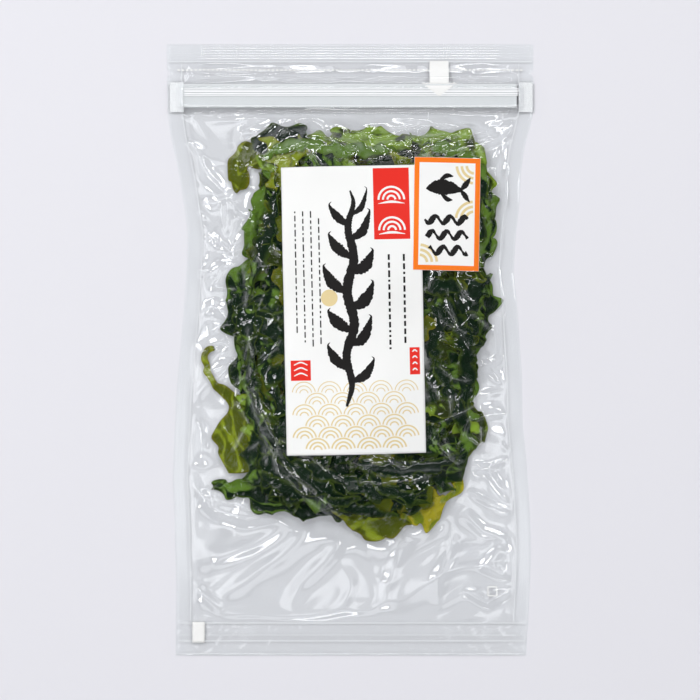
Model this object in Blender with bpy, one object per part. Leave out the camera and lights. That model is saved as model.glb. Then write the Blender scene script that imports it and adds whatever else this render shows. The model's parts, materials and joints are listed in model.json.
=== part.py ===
"""Wet wakame in a clear zip pouch, lying on its back film with its paper label facing up.

The pouch lies in the XY plane with its zip towards +Y and its thickness along +Z. The fronds are laid one
after another on a map of what already lies in the pouch, each one coming to rest just clear of what is
under it. The front film, the label and the stickers are laid over the heap by the same rule.
"""

import math

import bmesh
import bpy
import numpy as np

MM = 0.001
SEED = 11
GAP = 0.3 * MM

# The pouch. Its films are drawn thicker than the real 0.1 mm, so that each is a sound solid.
POUCH_LENGTH = 250 * MM
POUCH_WIDTH = 150 * MM
FILM = 0.4 * MM
SIDE_SEAL = 6 * MM
TOP_SEAL = 7 * MM
BOTTOM_SEAL = 13 * MM
FILM_SLOPE = 0.45
FILM_COLUMNS = 14
FILM_ROW_PITCH = 10.5 * MM
NOTCH_Y = 113.0 * MM
NOTCH_DEPTH = 1.6 * MM
NOTCH_HALF = 1.3 * MM

# The pouch's edges, as (y, x) in mm. The film is drawn in at the waist, where the heap fills it.
LEFT_EDGE = [
    (125, -75), (97, -74.6), (87, -73.2), (78, -71.1), (69, -69.3), (57, -67.5), (48, -66.3), (36, -66.6),
    (20, -67.7), (-17, -70.9), (-33, -71.7), (-53, -72.5), (-67, -71.8), (-97, -71.1), (-125, -71.3),
]
RIGHT_EDGE = [
    (125, 75), (98, 75), (92, 73.8), (83, 71.4), (72, 69.7), (61, 69.4), (45, 67.6), (32, 66.9),
    (21, 68.1), (-8, 70.1), (-30, 70.6), (-51, 72.6), (-73, 73.8), (-86, 74), (-112, 72.8), (-125, 72),
]

# The zip: two tapes, one with a groove between two hooked arms and one with a headed rib that snaps in.
ZIP_Y = 105.2 * MM
ZIP_LENGTH = 136 * MM
TAPE = 0.3 * MM
TAPE_ABOVE = 3.4 * MM
TAPE_BELOW = 6.2 * MM
ARM_OUTER = 1.5 * MM
ARM_INNER = 1.0 * MM
HOOK_INNER = 0.65 * MM
HOOK_FOOT = 1.6 * MM
ARM_TOP = 2.0 * MM
RIB_HALF = 0.35 * MM
HEAD_HALF = 0.7 * MM
HEAD_FOOT = 0.6 * MM
HEAD_NECK = 1.3 * MM

# Stickers on the front film: width, length, centre and turn.
LABEL = {"size": (56.5 * MM, 117 * MM), "centre": (1.4 * MM, 16.2 * MM), "turn": 1.2}
SEASON = {"size": (27 * MM, 46 * MM), "centre": (39.3 * MM, 55.2 * MM), "turn": -1.0}
TAG = {"size": (5.1 * MM, 8.5 * MM), "centre": (-61.9 * MM, -115.4 * MM), "turn": 0.0}
PAPER = 0.3 * MM

# The fronds
BLADE = 0.65 * MM
MIDRIB = 0.25 * MM
RUFFLE = 1.1 * MM
RUFFLE_PITCH = 17 * MM
LOBE_DEPTH = 0.2
LOBE_PITCH = 19 * MM
BLADE_STEP = 5.5 * MM
BLADE_SLOPE = 0.8

# The sides of the heap, as (y, x) in mm, between which the inner fronds lie.
HEAP_LEFT = [
    (88, -36), (75, -38), (61, -36), (45, -39), (28, -45), (16, -49), (2, -46), (-12, -45),
    (-29, -46), (-45, -46), (-57, -42), (-64, -25), (-69, 0),
]
HEAP_RIGHT = [
    (88, 48), (77, 53), (61, 56), (45, 55), (28, 54), (12, 54), (-4, 50), (-20, 49),
    (-33, 50), (-45, 46), (-57, 36), (-64, 30), (-69, 20),
]
HEAP_TOP = 88 * MM
HEAP_BOTTOM = -69 * MM

# The fronds that make the outline of the heap: midrib points and half widths, (x, y, half width) in mm.
EDGE_FRONDS = {
    "far_left": ("olive", [(-44.1, 64.8, 2.8), (-46.5, 71.3, 4.9), (-43.7, 77.8, 5.3), (-34, 80.1, 5.9)]),
    "top_corner": ("dark", [(-39, 86, 4), (-33, 85, 6.5), (-25.4, 85.3, 7.2), (-17, 86, 5)]),
    "left_upper": ("dark", [(-32, 66, 6), (-32.2, 55.2, 8.8), (-34.2, 46.9, 9.2), (-38.1, 36, 7)]),
    "left_middle": (
        "dark",
        [(-37.5, 36, 6), (-40.2, 26.7, 9.2), (-43.6, 20.2, 10), (-43, 14.1, 9.2), (-43, 5, 6)],
    ),
    "left_low": ("dark", [(-42.9, 6, 5.5), (-40.2, -3.7, 8.4), (-39.2, -10.3, 8.8), (-36.7, -20, 7)]),
    "stem_hook": (
        "olive",
        [
            (-55.5, 1.4, 1.0), (-58.7, 1, 1.2), (-60, -2.6, 1.4), (-58.7, -7.9, 1.5), (-55.9, -13.2, 1.4),
            (-51.8, -17.3, 1.8), (-46.5, -20.1, 3.3), (-43.7, -25.4, 6.9), (-44.5, -32.7, 10),
            (-44.5, -41, 10.5), (-43.5, -50, 7),
        ],
    ),
    "left_foot": (
        "dark",
        [
            (-55.9, -55.9, 2.6), (-51, -56.3, 3.3), (-44.9, -56.5, 3.4), (-38.4, -58.4, 5.7),
            (-30.7, -61.2, 6.5), (-22, -63.4, 5),
        ],
    ),
    "bottom_lens": ("dark", [(-33.5, -50, 6), (-24.6, -58, 8), (-14.4, -61.2, 8.5), (-1.5, -62.4, 6.5)]),
    "bottom_olive": (
        "olive",
        [(-7, -59.2, 5.7), (2.2, -64.9, 8.1), (10.4, -67.7, 8.5), (18.5, -67.3, 8.1), (26, -63.1, 6)],
    ),
    "bottom_yellow": ("yellow", [(21.4, -49.2, 7), (26.4, -57.7, 8.7), (29.8, -65.2, 9), (28.3, -72.6, 4.9)]),
    "low_strand": (
        "yellow",
        [(36.8, -61.2, 1.2), (41.3, -59.6, 1.6), (44.9, -56.7, 1.6), (44.1, -52.2, 2.8), (41, -46.4, 4.5)],
    ),
    "right_low": ("green", [(40, -47, 6), (44.9, -37.3, 8.4), (47.3, -31.7, 8.4), (49.8, -24, 6)]),
    "right_knee": (
        "dark",
        [(45, -25, 5.5), (44.7, -17.3, 7.6), (43.5, -10.1, 8), (44.4, -1.8, 8.4), (48.3, 6, 6.5)],
    ),
    "right_tip": (
        "dark",
        [(48.4, 3, 5.3), (50.2, 12.3, 8.4), (51.2, 18.5, 8.8), (50.1, 25, 8), (49.9, 33, 5.5)],
    ),
    "right_shoulder": (
        "dark",
        [(49.9, 34, 5.3), (50.9, 43, 7.6), (52, 49.6, 8.8), (51.6, 57, 8.4), (51.5, 66, 5.7)],
    ),
    "right_crest": ("green", [(53.5, 60.3, 4.4), (51.7, 69.1, 7.2), (49.8, 75.7, 7.2), (46.7, 84, 4.8)]),
    "top_right": ("green", [(50.5, 82, 4.4), (42.3, 82.6, 7.2), (35, 83.3, 6.8), (24, 83.2, 5.7)]),
    "top_middle": ("green", [(27, 82, 4.8), (14.6, 83.3, 7.6), (5.8, 83.7, 7.6), (-7.7, 83.2, 5.7)]),
    "top_bright": ("green", [(-3.9, 80, 6), (-13.2, 79.9, 9.5), (-21.3, 79.1, 10.9), (-31.3, 76.7, 8.5)]),
}

# The inner fronds lie in layers. Each is (rows, columns, inset from the heap's sides, length, half width).
LAYERS = {
    "under": (4, 3, 1 * MM, 52 * MM, 15 * MM),
    "middle": (3, 3, 4 * MM, 58 * MM, 17 * MM),
    "upper": (5, 2, 6 * MM, 50 * MM, 16 * MM),
}
HEADINGS = {"under": (0.9, 2.2), "middle": (0.5, 1.3), "upper": (1.9, 2.8)}
FROND_BEND = 0.9
TINT_CYCLE = ("dark", "dark", "green", "dark", "dark", "olive", "dark")

# What lies in the pouch is mapped on a square grid of this pitch, and sheets are tested at this many steps
# along each triangle's side.
MAP_PITCH = 0.8 * MM
TEST_STEPS = 9
SETTLE_ROUNDS = 200

COLOURS = {
    "dark": ((0.018, 0.045, 0.016, 1), 0.28),
    "green": ((0.075, 0.15, 0.018, 1), 0.28),
    "olive": ((0.11, 0.15, 0.012, 1), 0.28),
    "yellow": ((0.32, 0.27, 0.01, 1), 0.3),
    "film": ((0.9, 0.93, 0.95, 1), 0.1),
    "zip": ((0.95, 0.96, 0.97, 1), 0.2),
    "paper": ((0.9, 0.9, 0.88, 1), 0.55),
    "season_paper": ((0.95, 0.45, 0.04, 1), 0.4),
}


def triangle_weights(steps):
    """Weights of the test points spread over a triangle, its corners and sides among them."""
    return np.array(
        [(i, j, steps - i - j) for i in range(steps + 1) for j in range(steps + 1 - i)], float
    ) / steps


WEIGHTS = triangle_weights(TEST_STEPS)


class Pile:
    """The height of the highest thing in the pouch, at each point of a square grid."""

    def __init__(self):
        half = (POUCH_WIDTH / 2 + 10 * MM, POUCH_LENGTH / 2 + 10 * MM)
        self.corner = -np.array(half)
        counts = [int(2 * h / MAP_PITCH) + 2 for h in half]
        self.x, self.y = (c + MAP_PITCH * np.arange(n) for c, n in zip(self.corner, counts))
        self.top = np.full(counts, 0.0)

    def cells(self, points):
        """The grid indices of the four grid points round each point."""
        low = np.floor((points - self.corner) / MAP_PITCH).astype(int)
        for step in ((0, 0), (0, 1), (1, 0), (1, 1)):
            corner = low + step
            yield corner[..., 0], corner[..., 1]

    def height_under(self, points):
        return np.max([self.top[cell] for cell in self.cells(points)], axis=0)

    def lay(self, points, heights):
        for cell in self.cells(points):
            np.maximum.at(self.top, cell, heights)

    def tent(self, points, slope):
        """The height of a sheet no steeper than slope that is held up by the pile."""
        held = np.empty(len(points))
        for n, (x, y) in enumerate(points):
            away = np.hypot(self.x[:, None] - x, self.y[None, :] - y)
            held[n] = (self.top - slope * away).max()
        return held


def samples(xy, z, triangles):
    """Test points spread over a sheet's triangles, and the sheet's height at each."""
    return np.einsum("sk,tkc->tsc", WEIGHTS, xy[triangles]), z[triangles] @ WEIGHTS.T


def settle(pile, xy, z, triangles):
    """Raises a sheet's points until all of it is clear of the pile, and no more than it needs."""
    z = z.copy()
    points, _ = samples(xy, z, triangles)
    needed = pile.height_under(points) + GAP
    each = np.arange(len(triangles))
    for _ in range(SETTLE_ROUNDS):
        short = needed - z[triangles] @ WEIGHTS.T
        worst = short.argmax(axis=1)
        shares = WEIGHTS[worst]
        missing = short[each, worst]
        if missing.max() <= 0:
            break
        shares = shares / (shares**2).sum(axis=1)[:, None]
        lift = np.zeros(len(z))
        np.maximum.at(lift, triangles, np.maximum(missing, 0)[:, None] * shares)
        z += lift
    return z


def grid_triangles(rows, columns):
    """Two triangles for each cell of a grid of points, row by row."""
    found = []
    for i in range(rows - 1):
        for j in range(columns - 1):
            a = i * columns + j
            found += [(a, a + 1, a + columns + 1), (a, a + columns + 1, a + columns)]
    return np.array(found)


def grid_rim(rows, columns):
    """The grid's outer points, in order round it."""
    first = list(range(columns))
    right = [i * columns + columns - 1 for i in range(1, rows)]
    last = [(rows - 1) * columns + j for j in range(columns - 2, -1, -1)]
    left = [i * columns for i in range(rows - 2, 0, -1)]
    return first + right + last + left


def make_object(name, points, faces, material):
    mesh = bpy.data.meshes.new(name)
    mesh.from_pydata([tuple(p) for p in points], [], [tuple(int(i) for i in f) for f in faces])
    work = bmesh.new()
    work.from_mesh(mesh)
    bmesh.ops.recalc_face_normals(work, faces=work.faces)
    work.to_mesh(mesh)
    work.free()
    mesh.materials.append(material)
    made = bpy.data.objects.new(name, mesh)
    bpy.context.scene.collection.objects.link(made)
    return made


def sheet(name, xy, low, thick, rows, columns, material):
    """A closed sheet over a grid of points: its underside at low, its top thick above that."""
    triangles = grid_triangles(rows, columns)
    rim = grid_rim(rows, columns)
    count = len(xy)
    points = np.vstack([np.column_stack([xy, low + thick]), np.column_stack([xy, low])])
    faces = [tuple(t) for t in triangles] + [(c + count, b + count, a + count) for a, b, c in triangles]
    for a, b in zip(rim, rim[1:] + rim[:1]):
        faces += [(b, a, a + count), (b, a + count, b + count)]
    return make_object(name, points, faces, material)


def add_sheet(pile, name, xy, start, thick, rows, columns, material):
    """Lays a sheet on the pile, and adds it to the pile."""
    triangles = grid_triangles(rows, columns)
    low = settle(pile, xy, start, triangles)
    made = sheet(name, xy, low, thick, rows, columns, material)
    points, heights = samples(xy, low + thick, triangles)
    pile.lay(points, heights)
    return made


def smooth_path(points, count):
    """A smooth line through the points, cut into count even steps, with their widths carried along."""
    given = np.array(points, float) * MM
    held = np.vstack([2 * given[0] - given[1], given, 2 * given[-1] - given[-2]])
    fine = []
    for a, b, c, d in zip(held, held[1:], held[2:], held[3:]):
        for t in np.linspace(0, 1, 12, endpoint=False):
            fine.append(
                0.5 * (2 * b + (c - a) * t + (2 * a - 5 * b + 4 * c - d) * t**2 + (3 * b - a - 3 * c + d) * t**3)
            )
    fine = np.array([*fine, given[-1]])
    along = np.concatenate([[0], np.cumsum(np.hypot(*np.diff(fine[:, :2], axis=0).T))])
    at = np.linspace(0, along[-1], count)
    return np.column_stack([np.interp(at, along, column) for column in fine.T]), at


def frond(pile, name, points, tint, phase, materials):
    """A blade with a midrib, lobed sides and waved margins, laid on the pile along its midrib's points."""
    length = sum(math.dist(a[:2], b[:2]) for a, b in zip(points, points[1:])) * MM
    rows = max(6, round(length / BLADE_STEP) + 1)
    across = np.array([-1, -0.5, 0, 0.5, 1])
    line, along = smooth_path(points, rows)
    heading = np.gradient(line[:, :2], axis=0)
    heading /= np.linalg.norm(heading, axis=1)[:, None]
    side = np.column_stack([-heading[:, 1], heading[:, 0]])
    lobes = 1 + LOBE_DEPTH * np.sin(
        2 * math.pi * along[:, None] / LOBE_PITCH + phase + 2.1 * (across[None, :] > 0)
    )
    reach = line[:, 2:3] * across[None, :] * lobes
    xy = (line[:, None, :2] + side[:, None, :] * reach[:, :, None]).reshape(-1, 2)
    waves = 0.5 + 0.5 * np.sin(2 * math.pi * along[:, None] / RUFFLE_PITCH + phase + 3 * across[None, :])
    broad = np.minimum(line[:, 2:3] / (8 * MM), 1)
    ruffle = (RUFFLE * broad * across[None, :] ** 2 * waves).ravel()
    thick = np.broadcast_to(BLADE + MIDRIB * (across == 0), (rows, len(across))).ravel()
    start = pile.tent(xy, BLADE_SLOPE) + ruffle
    return add_sheet(pile, name, xy, start, thick, rows, len(across), materials[tint])


def inner_path(centre, heading, length, half_width, bend):
    """The midrib points of an inner frond: an arc near its centre, moved to lie within the heap's sides."""
    points = []
    for t in (-0.5, -0.3, 0, 0.3, 0.5):
        angle = heading + bend * t
        points.append((centre[0] + length * t * math.cos(angle), centre[1] + length * t * math.sin(angle)))
    x, y = np.array(points).T
    y += max(0, HEAP_BOTTOM + half_width / 2 - y.min()) - max(0, y.max() - HEAP_TOP + half_width / 2)
    x += max(0, (np.interp(-y, *edge_table(HEAP_LEFT)) + half_width / 2 - x).max())
    x -= max(0, (x - np.interp(-y, *edge_table(HEAP_RIGHT)) + half_width / 2).max())
    taper = half_width * (1 - 2.2 * np.array([-0.5, -0.3, 0, 0.3, 0.5]) ** 2)
    return [tuple(p) for p in np.column_stack([x, y, taper]) / MM]


def edge_table(points):
    """A (y, x) edge in mm as two rising tables in metres, of -y and x."""
    return [-y * MM for y, _ in points], [x * MM for _, x in points]


def lay_layer(pile, layer, chance, materials):
    rows, columns, inset, length, half_width = LAYERS[layer]
    number = 0
    for i in range(rows):
        for j in range(columns):
            y = HEAP_TOP - inset - (HEAP_TOP - HEAP_BOTTOM - 2 * inset) * (i + 0.5) / rows
            left = np.interp(-y, *edge_table(HEAP_LEFT)) + inset
            right = np.interp(-y, *edge_table(HEAP_RIGHT)) - inset
            x = left + (right - left) * (j + 0.5) / columns
            centre = (x + chance.uniform(-5, 5) * MM, y + chance.uniform(-5, 5) * MM)
            heading = chance.uniform(*HEADINGS[layer]) + (math.pi if number % 2 else 0)
            bend = FROND_BEND * chance.uniform(-1, 1)
            points = inner_path(centre, heading, length * chance.uniform(0.85, 1.1), half_width, bend)
            number += 1
            tint = TINT_CYCLE[(number + 3 * len(layer)) % len(TINT_CYCLE)]
            frond(pile, f"frond_{layer}_{number}", points, tint, chance.uniform(0, 6.28), materials)


def pouch_rows():
    """The heights along the pouch at which the front film has points."""
    half = POUCH_LENGTH / 2
    head = [half, half - TOP_SEAL, NOTCH_Y + NOTCH_HALF, NOTCH_Y, NOTCH_Y - NOTCH_HALF]
    track = [ZIP_Y + TAPE_ABOVE + MM, ZIP_Y + ARM_OUTER + MM, ZIP_Y - ARM_OUTER - MM, ZIP_Y - TAPE_BELOW - MM]
    body_top, body_bottom = ZIP_Y - TAPE_BELOW - 5 * MM, BOTTOM_SEAL - half
    count = round((body_top - body_bottom) / FILM_ROW_PITCH) + 1
    return np.array(head + track + list(np.linspace(body_top, body_bottom, count)) + [-half])


def pouch_sides(y):
    left = np.interp(-y, *edge_table(LEFT_EDGE))
    right = np.interp(-y, *edge_table(RIGHT_EDGE))
    notch = np.where(np.abs(y - NOTCH_Y) < NOTCH_HALF / 2, NOTCH_DEPTH, 0)
    return left + notch, right - notch


def back_film(material):
    """The back film: one flat sheet with the pouch's outline, its underside on the ground."""
    y = pouch_rows()
    left, right = pouch_sides(y)
    xy = np.column_stack([np.concatenate([left, right]), np.concatenate([y, y])])
    xy = xy.reshape(2, len(y), 2).transpose(1, 0, 2).reshape(-1, 2)
    return sheet("back_film", xy, np.zeros(len(xy)), np.full(len(xy), FILM), len(y), 2, material)


def front_film(pile, material):
    """The front film: it rests on the heap and the zip, and comes down to the seal round its edge."""
    y = pouch_rows()
    left, right = pouch_sides(y)
    inner = np.linspace(0, 1, FILM_COLUMNS - 2)
    xy = []
    for row_y, a, b in zip(y, left, right):
        across = a + SIDE_SEAL + (b - a - 2 * SIDE_SEAL) * inner
        xy += [(x, row_y) for x in (a, *across, b)]
    xy = np.array(xy)
    seal = FILM + GAP
    low = np.maximum(pile.tent(xy, FILM_SLOPE), seal)
    low[grid_rim(len(y), FILM_COLUMNS)] = seal
    return add_sheet(pile, "front_film", xy, low, np.full(len(xy), FILM), len(y), FILM_COLUMNS, material)


def extrude_along_x(name, outline, length, material):
    """A strip of one cross-section, given as (y, z) points, with its middle at x = 0."""
    work = bmesh.new()
    face = work.faces.new([work.verts.new((-length / 2, y, z)) for y, z in outline])
    pushed = bmesh.ops.extrude_face_region(work, geom=[face])
    moved = [v for v in pushed["geom"] if isinstance(v, bmesh.types.BMVert)]
    bmesh.ops.translate(work, verts=moved, vec=(length, 0, 0))
    bmesh.ops.recalc_face_normals(work, faces=work.faces)
    mesh = bpy.data.meshes.new(name)
    work.to_mesh(mesh)
    work.free()
    mesh.materials.append(material)
    made = bpy.data.objects.new(name, mesh)
    bpy.context.scene.collection.objects.link(made)
    return made


def zip_tracks(pile, material):
    """The two halves of the zip, pressed together between the films."""
    foot = FILM + GAP
    face = foot + TAPE
    arms = foot + ARM_TOP
    groove = [
        (-TAPE_BELOW, foot), (TAPE_ABOVE, foot), (TAPE_ABOVE, face), (ARM_OUTER, face), (ARM_OUTER, arms),
        (HOOK_INNER, arms), (HOOK_INNER, foot + HOOK_FOOT), (ARM_INNER, foot + HOOK_FOOT), (ARM_INNER, face),
        (-ARM_INNER, face), (-ARM_INNER, foot + HOOK_FOOT), (-HOOK_INNER, foot + HOOK_FOOT),
        (-HOOK_INNER, arms), (-ARM_OUTER, arms), (-ARM_OUTER, face), (-TAPE_BELOW, face),
    ]
    low = arms + GAP
    rib = [
        (-TAPE_BELOW, low), (-RIB_HALF, low), (-RIB_HALF, foot + HEAD_NECK), (-HEAD_HALF, foot + HEAD_NECK),
        (-RIB_HALF, foot + HEAD_FOOT), (RIB_HALF, foot + HEAD_FOOT), (HEAD_HALF, foot + HEAD_NECK),
        (RIB_HALF, foot + HEAD_NECK), (RIB_HALF, low), (TAPE_ABOVE, low), (TAPE_ABOVE, low + TAPE),
        (-TAPE_BELOW, low + TAPE),
    ]
    for name, outline in (("zip_groove", groove), ("zip_rib", rib)):
        extrude_along_x(name, [(ZIP_Y + y, z) for y, z in outline], ZIP_LENGTH, material)
    edge = np.array(
        [(x, ZIP_Y + y) for x in (-ZIP_LENGTH / 2, ZIP_LENGTH / 2) for y in (-TAPE_BELOW, TAPE_ABOVE)]
    )
    corners = np.array([(0, 1, 3), (0, 3, 2)])
    for step in np.linspace(0, 1, 160):
        x = edge[:, 0] * step
        points, heights = samples(np.column_stack([x, edge[:, 1]]), np.full(4, low + TAPE), corners)
        pile.lay(points, heights)


def paper(pile, name, sticker, columns, rows, material):
    """A paper sticker that follows the front film."""
    width, length = sticker["size"]
    turn = math.radians(sticker["turn"])
    xy = []
    for v in np.linspace(length / 2, -length / 2, rows):
        for u in np.linspace(-width / 2, width / 2, columns):
            x = sticker["centre"][0] + u * math.cos(turn) - v * math.sin(turn)
            y = sticker["centre"][1] + u * math.sin(turn) + v * math.cos(turn)
            xy.append((x, y))
    xy = np.array(xy)
    start = pile.height_under(xy) + GAP
    return add_sheet(pile, name, xy, start, np.full(len(xy), PAPER), rows, columns, material)


def make_materials():
    made = {}
    for name, (colour, roughness) in COLOURS.items():
        material = bpy.data.materials.new(name)
        material.use_nodes = True
        shader = material.node_tree.nodes["Principled BSDF"]
        shader.inputs["Base Color"].default_value = colour
        shader.inputs["Roughness"].default_value = roughness
        made[name] = material
    return made


def main():
    for obj in list(bpy.data.objects):
        bpy.data.objects.remove(obj)
    materials = make_materials()
    chance = np.random.default_rng(SEED)
    pile = Pile()
    back_film(materials["film"])
    pile.top[:] = FILM
    lay_layer(pile, "under", chance, materials)
    for name, (tint, points) in EDGE_FRONDS.items():
        frond(pile, f"frond_{name}", points, tint, chance.uniform(0, 6.28), materials)
    lay_layer(pile, "middle", chance, materials)
    lay_layer(pile, "upper", chance, materials)
    zip_tracks(pile, materials["zip"])
    front_film(pile, materials["film"])
    paper(pile, "main_label", LABEL, 6, 11, materials["paper"])
    paper(pile, "season_sticker", SEASON, 4, 6, materials["season_paper"])
    paper(pile, "corner_tag", TAG, 2, 2, materials["paper"])


main()
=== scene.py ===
"""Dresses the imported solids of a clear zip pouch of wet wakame, and sets the camera and lights round it.

The pouch lies in the XY plane with its zip towards +Y. Fronds are made first, from the solids and then as
loose scraps laid on them. The front film is relaxed over the heap as a thin sheet with too much material
for its drawn-in sides. The papers are pressed into the film, and the heap is pressed flat under both.
"""

import json
import math

import bmesh
import bpy
import numpy as np
from bpy.props import FloatProperty, FloatVectorProperty, IntProperty, PointerProperty
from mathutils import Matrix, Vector
from mathutils.bvhtree import BVHTree


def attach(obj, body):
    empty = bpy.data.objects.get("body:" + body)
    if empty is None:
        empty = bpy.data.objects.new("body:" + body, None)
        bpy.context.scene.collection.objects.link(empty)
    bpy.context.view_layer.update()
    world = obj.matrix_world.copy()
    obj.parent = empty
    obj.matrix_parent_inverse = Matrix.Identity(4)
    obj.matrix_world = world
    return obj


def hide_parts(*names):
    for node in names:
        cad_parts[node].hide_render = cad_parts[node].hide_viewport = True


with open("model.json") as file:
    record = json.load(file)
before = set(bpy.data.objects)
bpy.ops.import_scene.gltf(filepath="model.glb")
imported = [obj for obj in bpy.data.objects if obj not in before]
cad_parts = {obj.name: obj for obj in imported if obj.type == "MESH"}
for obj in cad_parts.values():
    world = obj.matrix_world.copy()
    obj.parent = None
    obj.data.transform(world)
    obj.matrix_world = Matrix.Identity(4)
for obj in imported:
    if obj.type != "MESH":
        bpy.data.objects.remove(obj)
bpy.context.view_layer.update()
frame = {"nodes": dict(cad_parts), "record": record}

bl_info = {
    "name": "Wakame Pouch",
    "version": (1, 0, 0),
    "blender": (4, 5, 0),
    "location": "View3D > Sidebar > Wakame",
    "description": "Wet wakame in a clear zip pouch with paper labels",
    "category": "Object",
}

MM = 0.001

# Pouch
HALF_WIDTH = 75 * MM
HALF_LENGTH = 125 * MM
TOP_SEAL = 7 * MM
BOTTOM_SEAL = 13 * MM
SIDE_SEAL = 6 * MM
SEAL_LEVEL = 0.75 * MM
NOTCH_Y = 113 * MM
NOTCH_DEPTH = 1.6 * MM
NOTCH_HALF = 1.3 * MM
ZIP_Y = 105.2 * MM
ZIP_HALF = 68 * MM
ZIP_ABOVE = 3.4 * MM
ZIP_BELOW = 6.2 * MM
LEFT_EDGE = (
    (125, -75), (97, -74.6), (87, -73.2), (78, -71.1), (69, -69.3), (57, -67.5), (48, -66.3), (36, -66.6),
    (20, -67.7), (-17, -70.9), (-33, -71.7), (-53, -72.5), (-67, -71.8), (-97, -71.1), (-125, -71.3),
)
RIGHT_EDGE = (
    (125, 75), (98, 75), (92, 73.8), (83, 71.4), (72, 69.7), (61, 69.4), (45, 67.6), (32, 66.9),
    (21, 68.1), (-8, 70.1), (-30, 70.6), (-51, 72.6), (-73, 73.8), (-86, 74), (-112, 72.8), (-125, 72),
)

# Heap
HEAP_LEFT = (
    (88, -36), (75, -40), (61, -34), (45, -38), (28, -46), (16, -51), (2, -46), (-12, -44),
    (-29, -52), (-45, -54), (-54, -50), (-60, -36), (-66, -8), (-70, 5),
)
HEAP_RIGHT = (
    (88, 46), (77, 55), (61, 59), (45, 59), (28, 58), (12, 57), (-4, 52), (-20, 51),
    (-33, 54), (-45, 50), (-57, 42), (-66, 36), (-70, 20),
)
HEAP_TOP = 87 * MM
HEAP_BOTTOM = -68 * MM

# Papers: width, length, centre and turn in degrees
LABEL = ((56.5 * MM, 117 * MM), (1.4 * MM, 16.2 * MM), 1.2)
SEASON = ((27 * MM, 46 * MM), (39.3 * MM, 55.2 * MM), -1.0)
TAG = ((5.1 * MM, 8.5 * MM), (-61.9 * MM, -115.4 * MM), 0.0)

SEASON_LIFT = 0.22 * MM
UNDER_PAPER = 0.17 * MM
PAPER_THICK = 0.13 * MM
PAPER_FADE = 3 * MM
PAPER_RISE = 0.15 * MM
COLOUR_LIFT = 0.03 * MM
BLACK_LIFT = 0.05 * MM
WHITE_LIFT = 0.06 * MM
FILM_LIFT = 0.09 * MM

# Blades
BASE = 0.45 * MM
GRAIN = 0.42
STRAND_GRAIN = 0.16
BLADE_GAP = 0.12 * MM
SCRAP_GAP = 0.06 * MM
SCRAP_SINK = 0.5 * MM
SCRAP_PITCH = 1.1 * MM
SCRAP_DEPTH_SHARE = 0.9
SCRAP_FOLD_SHARE = 0.8
SCRAP_INSET = 8 * MM
SCRAPS_A_LAYER = 12
FULL_LAYERS = 3.0
HEAD_Y = 72 * MM
FOOT_Y = -40 * MM
SPLIT_Y = 12 * MM

# Film
FREE_ROUGHNESS = 0.11
CLINGING_ROUGHNESS = 0.05
MOST_GLOSS = 0.4
SHADOW_LOSS = 0.75
STREAKS = 80
STREAK_SEED = 31
STREAK_WIDTH = 0.95
CALM_ROUNDS = 60
PULL_SHARE = 0.9
WET_LEVEL = 0.6 * MM
ZIPPED = (94 * MM, 98 * MM, 109.4 * MM, 110.6 * MM)
FOLDED = (-112 * MM, -107 * MM, 115 * MM, 117.4 * MM)
BACK_LEVEL = 0.14 * MM
BACK_COCKLE = 0.12 * MM
BACK_THICK = 0.1 * MM
BACK_COLUMNS = 96
DIMPLE_PITCH = 0.95 * MM

# Lights: name, place, width and length, and share of the power
LIGHTS = (
    ("key", (-0.62, 0.72, 0.88), (0.3, 0.3), 1.5),
    ("overhead", (0.0, 0.0, 1.8), (1.2, 1.2), 0.9),
    ("left_wall", (-1.0, 0.05, 0.75), (0.5, 1.1), 0.6),
    ("right_wall", (1.0, -0.05, 0.75), (0.45, 1.0), 0.4),
    ("left_screen", (-0.5, -0.1, 1.15), (0.3, 0.8), 0.42),
    ("right_screen", (0.5, -0.2, 1.15), (0.25, 0.8), 0.35),
    ("foot_screen", (0.0, -0.65, 1.1), (0.8, 0.25), 0.28),
    ("head_screen", (0.05, 0.7, 1.1), (0.8, 0.2), 0.28),
    ("left_strip", (-0.8, 0.3, 0.95), (0.08, 0.6), 0.5),
    ("right_strip", (0.8, 0.15, 0.9), (0.08, 0.5), 0.55),
    ("head_strip", (0.1, 0.8, 0.95), (0.5, 0.1), 0.6),
    ("foot_strip", (0.1, -0.85, 0.9), (0.42, 0.09), 0.35),
    ("head_corner", (0.62, 0.6, 0.95), (0.2, 0.2), 0.55),
    ("foot_corner", (-0.62, -0.52, 0.95), (0.2, 0.2), 0.55),
)
FLOOR_REACH = 3
FLOOR_LEVEL = -0.2 * MM
SENSOR = 36
EYE_RISE = 8 * MM

# Fields
PITCH = 0.8 * MM
FIELD_X = np.arange(-84 * MM, 84.4 * MM, PITCH)
FIELD_Y = np.arange(-134 * MM, 134.4 * MM, PITCH)

state = {}


def plane_waves(points, pitch, seed, count=7):
    """Smooth noise of about -1 to 1 over points in the plane."""
    chance = np.random.default_rng(seed)
    total = np.zeros(points.shape[:-1])
    for _ in range(count):
        turn = chance.uniform(0, math.tau)
        rate = math.tau / (pitch * chance.uniform(0.65, 1.6))
        along = points[..., 0] * math.cos(turn) + points[..., 1] * math.sin(turn)
        total += np.sin(along * rate + chance.uniform(0, math.tau))
    return total / (1.1 * math.sqrt(count))


def creases(points, pitch, seed):
    """Sharp ridges with round hollows between them, from 0 to 1, bent by a broader noise."""
    bent = points[..., :2] + 0.35 * pitch * np.stack(
        [plane_waves(points, 2 * pitch, seed + 1), plane_waves(points, 2 * pitch, seed + 2)], axis=-1
    )
    return np.clip(1 - np.abs(plane_waves(bent, pitch, seed)) * 1.3, 0, 1)


def smooth_step(low, high, value):
    """0 up to the low value, 1 from the high one, and smooth between them."""
    t = np.clip((value - low) / (high - low), 0, 1)
    return t * t * (3 - 2 * t)


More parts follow.
